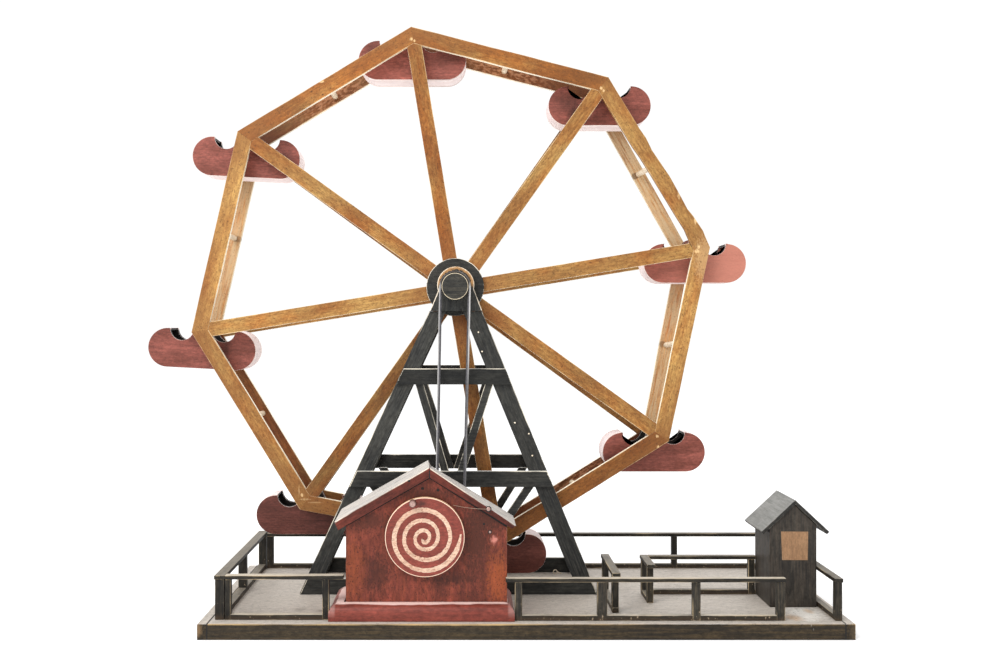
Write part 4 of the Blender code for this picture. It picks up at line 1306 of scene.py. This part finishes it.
def makeFences():
    post, inset, gap = fences["post"], fences["inset"], fences["gap"]
    innerLeft = fences["left"] + fences["wideLeft"] + gap
    innerRight = fences["right"] - fences["wide"] - gap
    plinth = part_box("house_plinth")
    last = fences["back"] - inset - post
    makeFence("front_left_fence", across, [(innerLeft, 0.0065), (-0.2382, 0.0076)], fences["wideLeft"],
              (innerLeft, plinth[0].x - gap), 0.12)
    makeFence("front_right_fence", across,
              [(-0.0126, 0.0085), (0.0837, 0.0117), (0.1950, 0.0094), (0.2932, 0.0100)], fences["wide"],
              (plinth[1].x + gap, fences["entrance"] - inset), 0.9)
    makeFence("left_fence", inward, [(0.0190, post), (0.1640, post), (last, post)], fences["wideLeft"],
              (0.0190, fences["back"] - inset), 0.15)
    makeFence("back_fence", across, [(innerLeft, post), (-0.1745, post), (0.0225, post), (0.2226, 0.0080),
                                     (innerRight - post, post)], fences["wide"])
    makeFence("right_fence", inward, [(0.0135, 0.0105), (0.1680, post), (last, post)], fences["wide"],
              (0.0135, fences["back"] - inset))
    makeFence("queue_near_rail", inward, [(0.0545, post), (0.1650 - inset - post, post)], fences["wide"],
              (0.0440 + post, 0.1650 - inset))
    makeFence("queue_far_rail", inward, [(0.1040, post), (0.1605 - inset - post, post)], fences["wide"],
              (0.0950 + post, 0.1605 - inset))
    makeFence("queue_back_rail", across, [(0.2925, 0.0085)], fences["wide"])


# The paint of each finish, and the marks on it

brown, sootAndShadow, rust, rose = shade(72, 36, 26), shade(52, 28, 22), shade(168, 84, 42), shade(200, 128, 114)
# marks on the house walls: dark, rusty and pink patches; the spots at x -0.0885, -0.0580 and -0.0415 are
# painted shadow under, right of and above the crank disc
houseSpots = (
    (-0.1733, 0.0715, 0.0150, 0.0200, 0.65, sootAndShadow), (-0.0885, 0.0665, 0.0330, 0.0070, 0.6, sootAndShadow),
    (-0.0580, 0.1130, 0.0160, 0.0420, 0.95, brown), (-0.0415, 0.1360, 0.0240, 0.0150, 0.9, brown),
    (-0.1120, 0.1640, 0.0300, 0.0080, 0.8, brown),
    (-0.1800, 0.1320, 0.0260, 0.0100, 0.75, brown), (-0.0980, 0.0560, 0.0110, 0.0120, 0.5, sootAndShadow),
    (-0.0300, 0.0850, 0.0070, 0.0220, 0.5, brown), (-0.2030, 0.0760, 0.0120, 0.0300, 0.25, rust),
    (-0.0310, 0.0640, 0.0120, 0.0260, 0.5, rust), (-0.0368, 0.1110, 0.0030, 0.0040, 0.8, rose),
    (-0.1450, 0.1080, 0.0080, 0.0340, 0.5, brown), (-0.0620, 0.0420, 0.0150, 0.0080, 0.4, brown),
)
scuff, pit = shade(226, 190, 138), shade(58, 36, 22)
pinMarks = tuple((x, z, 0.0017, 0.0020, 0.7, scuff) for x, z in (
    (-0.1408, 0.7362), (0.1065, 0.6722), (0.1791, 0.2195), (-0.2831, 0.1427))) + (
    (-0.2574, 0.6809, 0.0034, 0.0014, 0.75, scuff), (-0.1831, 0.7292, 0.0034, 0.0012, 0.8, scuff),
    (-0.2705, 0.6679, 0.0014, 0.0014, 0.7, pit), (-0.2561, 0.6640, 0.0012, 0.0012, 0.7, pit),
    (0.1095, 0.6690, 0.0014, 0.0016, 0.7, scuff), (-0.1368, 0.7340, 0.0014, 0.0016, 0.7, scuff),
    (0.2330, 0.4655, 0.0016, 0.0020, 0.8, scuff), (0.1805, 0.2052, 0.0016, 0.0020, 0.7, scuff),
    (-0.2790, 0.1370, 0.0060, 0.0012, 0.3, scuff), (-0.2870, 0.1480, 0.0010, 0.0060, 0.25, scuff),
    (-0.2660, 0.1330, 0.0090, 0.0009, 0.25, scuff), (0.2075, 0.5330, 0.0016, 0.0050, 0.45, scuff),
    (0.2290, 0.5010, 0.0016, 0.0050, 0.7, scuff),
    (0.0700, 0.6860, 0.0400, 0.0100, 0.25, pit), (-0.2960, 0.6480, 0.0200, 0.0140, 0.3, pit),
    (0.2430, 0.4480, 0.0140, 0.0300, 0.3, scuff), (0.2310, 0.4600, 0.0030, 0.0026, 0.7, scuff),
    (-0.1030, 0.6400, 0.0020, 0.0016, 0.8, pit), (-0.3060, 0.2900, 0.0020, 0.0020, 0.8, pit))
# painted shadow of the spokes and rim laths on the gondola boards, with a darker tip (the first spot) and a
# pink spot (the sixth)
gondolaShade = (
    (-0.1950, 0.7313, 0.0170, 0.0180, 0.5, sootAndShadow), (-0.0800, 0.7230, 0.0340, 0.0090, 0.4, sootAndShadow),
    (-0.0930, 0.7060, 0.0300, 0.0320, 0.42, sootAndShadow), (0.0620, 0.6560, 0.0140, 0.0100, 0.5, sootAndShadow),
    (0.0744, 0.6414, 0.0080, 0.0130, 0.8, sootAndShadow), (0.0930, 0.6440, 0.0050, 0.0050, 0.35, rose),
    (-0.1370, 0.7035, 0.0050, 0.0150, 0.6, sootAndShadow), (-0.3100, 0.5860, 0.0090, 0.0070, 0.6, sootAndShadow),
    (-0.3866, 0.3310, 0.0050, 0.0150, 0.6, sootAndShadow), (0.1193, 0.1883, 0.0100, 0.0060, 0.6, sootAndShadow),
)
deckSpots = (
    (at(0.3334, 0.050, 0.0), (0.0170, 0.0280, 0.0), 0.75, shade(238, 234, 226)),
    (at(-0.2330, 0.0885, 0.0), (0.0025, 0.0050, 0.0), 0.7, shade(70, 60, 50)),
    (at(-0.1905, 0.0680, 0.0), (0.0020, 0.0060, 0.0), 0.55, shade(84, 74, 62)),
    (at(-0.2430, 0.0640, 0.0), (0.0060, 0.0040, 0.0), 0.4, shade(96, 86, 74)),
    (at(0.3180, 0.030, 0.0), (0.0080, 0.0120, 0.0), 0.5, shade(190, 150, 104)),
    (at(0.3440, 0.062, 0.0), (0.0050, 0.0090, 0.0), 0.5, shade(190, 150, 104)),
    (at(-0.2700, 0.070, 0.0), (0.0060, 0.0090, 0.0), 0.4, shade(120, 112, 102)),
    (at(-0.3800, 0.0, 0.0120), (0.0045, 0.0100, 0.0080), 0.55, shade(140, 112, 80)),
    (at(0.3800, 0.0, 0.0080), (0.0040, 0.0100, 0.0100), 0.25, shade(110, 94, 72)),
)

# side colours on the laths and gondolas are painted reflection of the white floor; top colours are scuffed
# paint and painted highlight
finishes = {
    "lath": woodFinish("ochre_lath", paint=(192, 150, 86), deep=(158, 112, 60), streak=(128, 84, 44),
        streaks=0.55, bare=(228, 198, 152), fleck=(70, 44, 26), warm=(248, 202, 164), side=(250, 240, 218),
        sideFrom=(0.2, 0.3), fibres=560, clouds=34, mottles=360, mottle=0.38, fleckFrom=(0.6, 0.67),
        rubbedFrom=(1.95, 2.3), rubbed=0.7, rough=(0.4, 0.65),
        extra=spotted(pinMarks, 0.3, 0.6, 620, lathCorners)),
    "backLath": woodFinish("ochre_lath_behind", paint=(182, 134, 80), deep=(146, 96, 54),
        streak=(110, 70, 38), streaks=0.6, bare=(228, 198, 152), fleck=(70, 44, 26), warm=(248, 202, 164),
        side=(250, 240, 218), sideFrom=(0.2, 0.3), fibres=560, clouds=22, mottles=240, mottle=0.3,
        fleckFrom=(0.62, 0.69), rubbedFrom=(2.0, 2.4), rubbed=0.55, rough=(0.4, 0.65), extra=backLathPaint),
    "tower": woodFinish("tower_black", paint=(56, 56, 53), deep=(37, 38, 38), streak=(86, 84, 77),
        bare=(236, 226, 206), fleck=(16, 16, 15), top=(252, 250, 244), topFrom=(0.16, 0.26), topStreaks=0.1,
        mottles=240, mottle=0.5, rubbedFrom=(1.95, 2.25), rubbed=0.9),
    "head": woodFinish("tower_head_black", paint=(51, 52, 50), deep=(34, 36, 36), streak=(78, 76, 70),
        bare=(242, 228, 206), fleck=(16, 16, 15), mottles=240, mottle=0.5, rubbedFrom=(1.8, 2.2),
        rubbed=0.9, extra=archEdge),
    "pulley": woodFinish("pulley_black", paint=(58, 57, 53), deep=(40, 40, 38), streak=(88, 82, 70),
        bare=(240, 224, 192), fleck=(20, 18, 16), mottles=400, mottle=0.5, rubbedFrom=(1.6, 2.0),
        rubbed=0.9),
    "fence": woodFinish("fence_black", paint=(45, 43, 38), deep=(28, 26, 24), streak=(88, 78, 62),
        streaks=0.45, bare=(214, 190, 152), fleck=(18, 16, 15), top=(222, 210, 190), topFrom=(0.3, 0.48),
        topShare=True, mottles=240, mottle=0.6, rubbedFrom=(2.05, 2.4), rubbed=0.85, rough=(0.45, 0.68),
        extra=brownFeet),
    "house": woodFinish("house_red", paint=(132, 62, 49), deep=(98, 46, 37), streak=(142, 72, 46),
        bare=(214, 164, 136), fleck=(36, 20, 17), fibres=620, clouds=26, mottle=0.5, fleckSize=760,
        fleckFrom=(0.6, 0.68), flecks=0.7, rubbedFrom=(2.15, 2.5), rubbed=0.6, rough=(0.34, 0.58),
        extra=spotted(houseSpots, 0.5, 0.8, 420)),
    "roof": woodFinish("roof_red", paint=(112, 50, 38), deep=(82, 36, 28), streak=(56, 28, 22), streaks=0.6,
        bare=(238, 226, 208), fleck=(44, 26, 22), top=(240, 232, 222), topFrom=(0.28, 0.38), topStreaks=1.3,
        topStreak=(132, 138, 148), mottle=0.5, rubbedFrom=(1.9, 2.25), rough=(0.38, 0.62)),
    "plinth": woodFinish("plinth_red", paint=(144, 68, 55), deep=(116, 50, 40), streak=(94, 46, 38),
        bare=(232, 196, 184), fleck=(76, 40, 34), mottles=300, mottle=0.42, rubbedFrom=(2.2, 2.6),
        rough=(0.34, 0.55), gloss=0.25, extra=plinthHighlight),
    "gondola": woodFinish("gondola_red", paint=(158, 88, 76), deep=(122, 64, 52), streak=(104, 56, 46),
        bare=(226, 188, 172), fleck=(66, 38, 34), side=(240, 222, 216), sideFrom=(0.16, 0.26),
        inner=(30, 26, 24), clouds=60, mottles=440, rubbedFrom=(2.1, 2.5), rubbed=0.6, gloss=0.25,
        extra=spotted(gondolaShade, 0.8, 0.3, 200, salmonGlareEnd)),
    # the strips' pinkish white is painted reflection of the white floor and surroundings
    "gondolaSkin": woodFinish("gondola_strip", paint=(246, 234, 234), deep=(232, 212, 210),
        streak=(208, 180, 176), streaks=0.3, bare=(248, 238, 234), fleck=(150, 110, 104),
        inner=(30, 26, 24), mottle=0.1, rough=(0.45, 0.7), gloss=0.3, dim=0.95),
    "deck": woodFinish("deck_grey", paint=(56, 48, 36), deep=(38, 32, 25), streak=(92, 76, 52),
        streaks=0.55, bare=(200, 166, 114), fleck=(34, 30, 26), top=(208, 199, 188), topFrom=(0.24, 0.37),
        topStreaks=0.25, topMottle=(0.74, 1.24), fibres=420, clouds=18, mottles=260, mottle=0.55,
        fleckFrom=(0.63, 0.7), rubbedFrom=(2.0, 2.45), rubbed=0.75, rough=(0.45, 0.72),
        extra=spotted(deckSpots, 0.5, 0.6, 180)),
    "booth": woodFinish("booth_grey", paint=(62, 57, 51), deep=(42, 39, 36), streak=(98, 86, 74),
        streaks=0.4, bare=(160, 134, 108), fleck=(24, 22, 20), mottle=0.5, rubbedFrom=(2.15, 2.5),
        rubbed=0.5, rough=(0.45, 0.68)),
    "boothRoof": woodFinish("booth_roof", paint=(52, 50, 47), deep=(38, 37, 35), streak=(60, 58, 54),
        bare=(170, 164, 152), fleck=(40, 38, 36), top=(150, 150, 146), topFrom=(0.24, 0.46), topStreaks=0.7,
        mottles=220, mottle=0.7, rubbedFrom=(2.1, 2.5), rough=(0.45, 0.68)),
    "patch": woodFinish("counter_tan", paint=(176, 138, 102), deep=(158, 120, 86), streak=(140, 104, 76),
        bare=(200, 166, 130), fleck=(96, 70, 50), mottles=500, mottle=0.3, rough=(0.45, 0.65), gloss=0.3),
    "disc": woodFinish("crank_red", paint=(146, 67, 55), deep=(126, 56, 45), streak=(106, 50, 40),
        streaks=0.4, bare=(248, 218, 192), fleck=(76, 38, 30), side=(222, 180, 140), mottles=400,
        mottle=0.4, rubbedFrom=(1.5, 1.9), rubbed=0.9, rough=(0.38, 0.58), gloss=0.3,
        # the dark spot right of the knob is the knob's painted shadow on the disc
        extra=spotted(((-0.1215, 0.1552, 0.0050, 0.0028, 0.75, sootAndShadow),), 0.5, 0.4, 300)),
    "cream": woodFinish("cream_line", paint=(230, 200, 176), deep=(210, 172, 148), streak=(186, 136, 108),
        bare=(240, 222, 202), fleck=(140, 84, 62), mottles=500, mottle=0.35, fleckFrom=(0.58, 0.66),
        rough=(0.4, 0.6), gloss=0.3, dim=0.85),
    "knob": woodFinish("knob_pink", paint=(104, 74, 66), deep=(84, 58, 52), streak=(70, 46, 42),
        streaks=0.4, bare=(150, 112, 104), fleck=(90, 62, 56), mottle=0.3, rough=(0.3, 0.5), gloss=0.3,
        dim=0.9),
    "pale": woodFinish("pale_dowel", paint=(236, 222, 200), deep=(212, 190, 158), streak=(180, 148, 112),
        streaks=0.4, bare=(240, 228, 206), fleck=(100, 70, 48), mottle=0.2, rough=(0.45, 0.7), gloss=0.3,
        dim=0.98),
    "dark": plainFinish("dark_holes_and_shade", paint=(26, 22, 20), deep=(12, 10, 10), rough=(0.8, 0.95), spots=900),
    "belt": plainFinish("belt_grey", paint=(82, 80, 84), deep=(56, 55, 58), rough=(0.4, 0.65), spots=420,
        extra=beltShine),
    "steel": plainFinish("old_steel", paint=(186, 156, 146), deep=(144, 114, 106), rough=(0.3, 0.6),
        spots=1500, metal=0.4),
}

makeStudio()
print("camera, light, floor and finishes are made")
makeDeck()
makeTowers()
print("deck and towers are made")
makeWheel()
makeTurned()
makeGondolas()
print("wheel and gondolas are made")
makeBelt()
makeCrank()
makeHouse()
print("belt, crank and house are made")
makeBooth()
makeFences()
print("booth and fences are made")
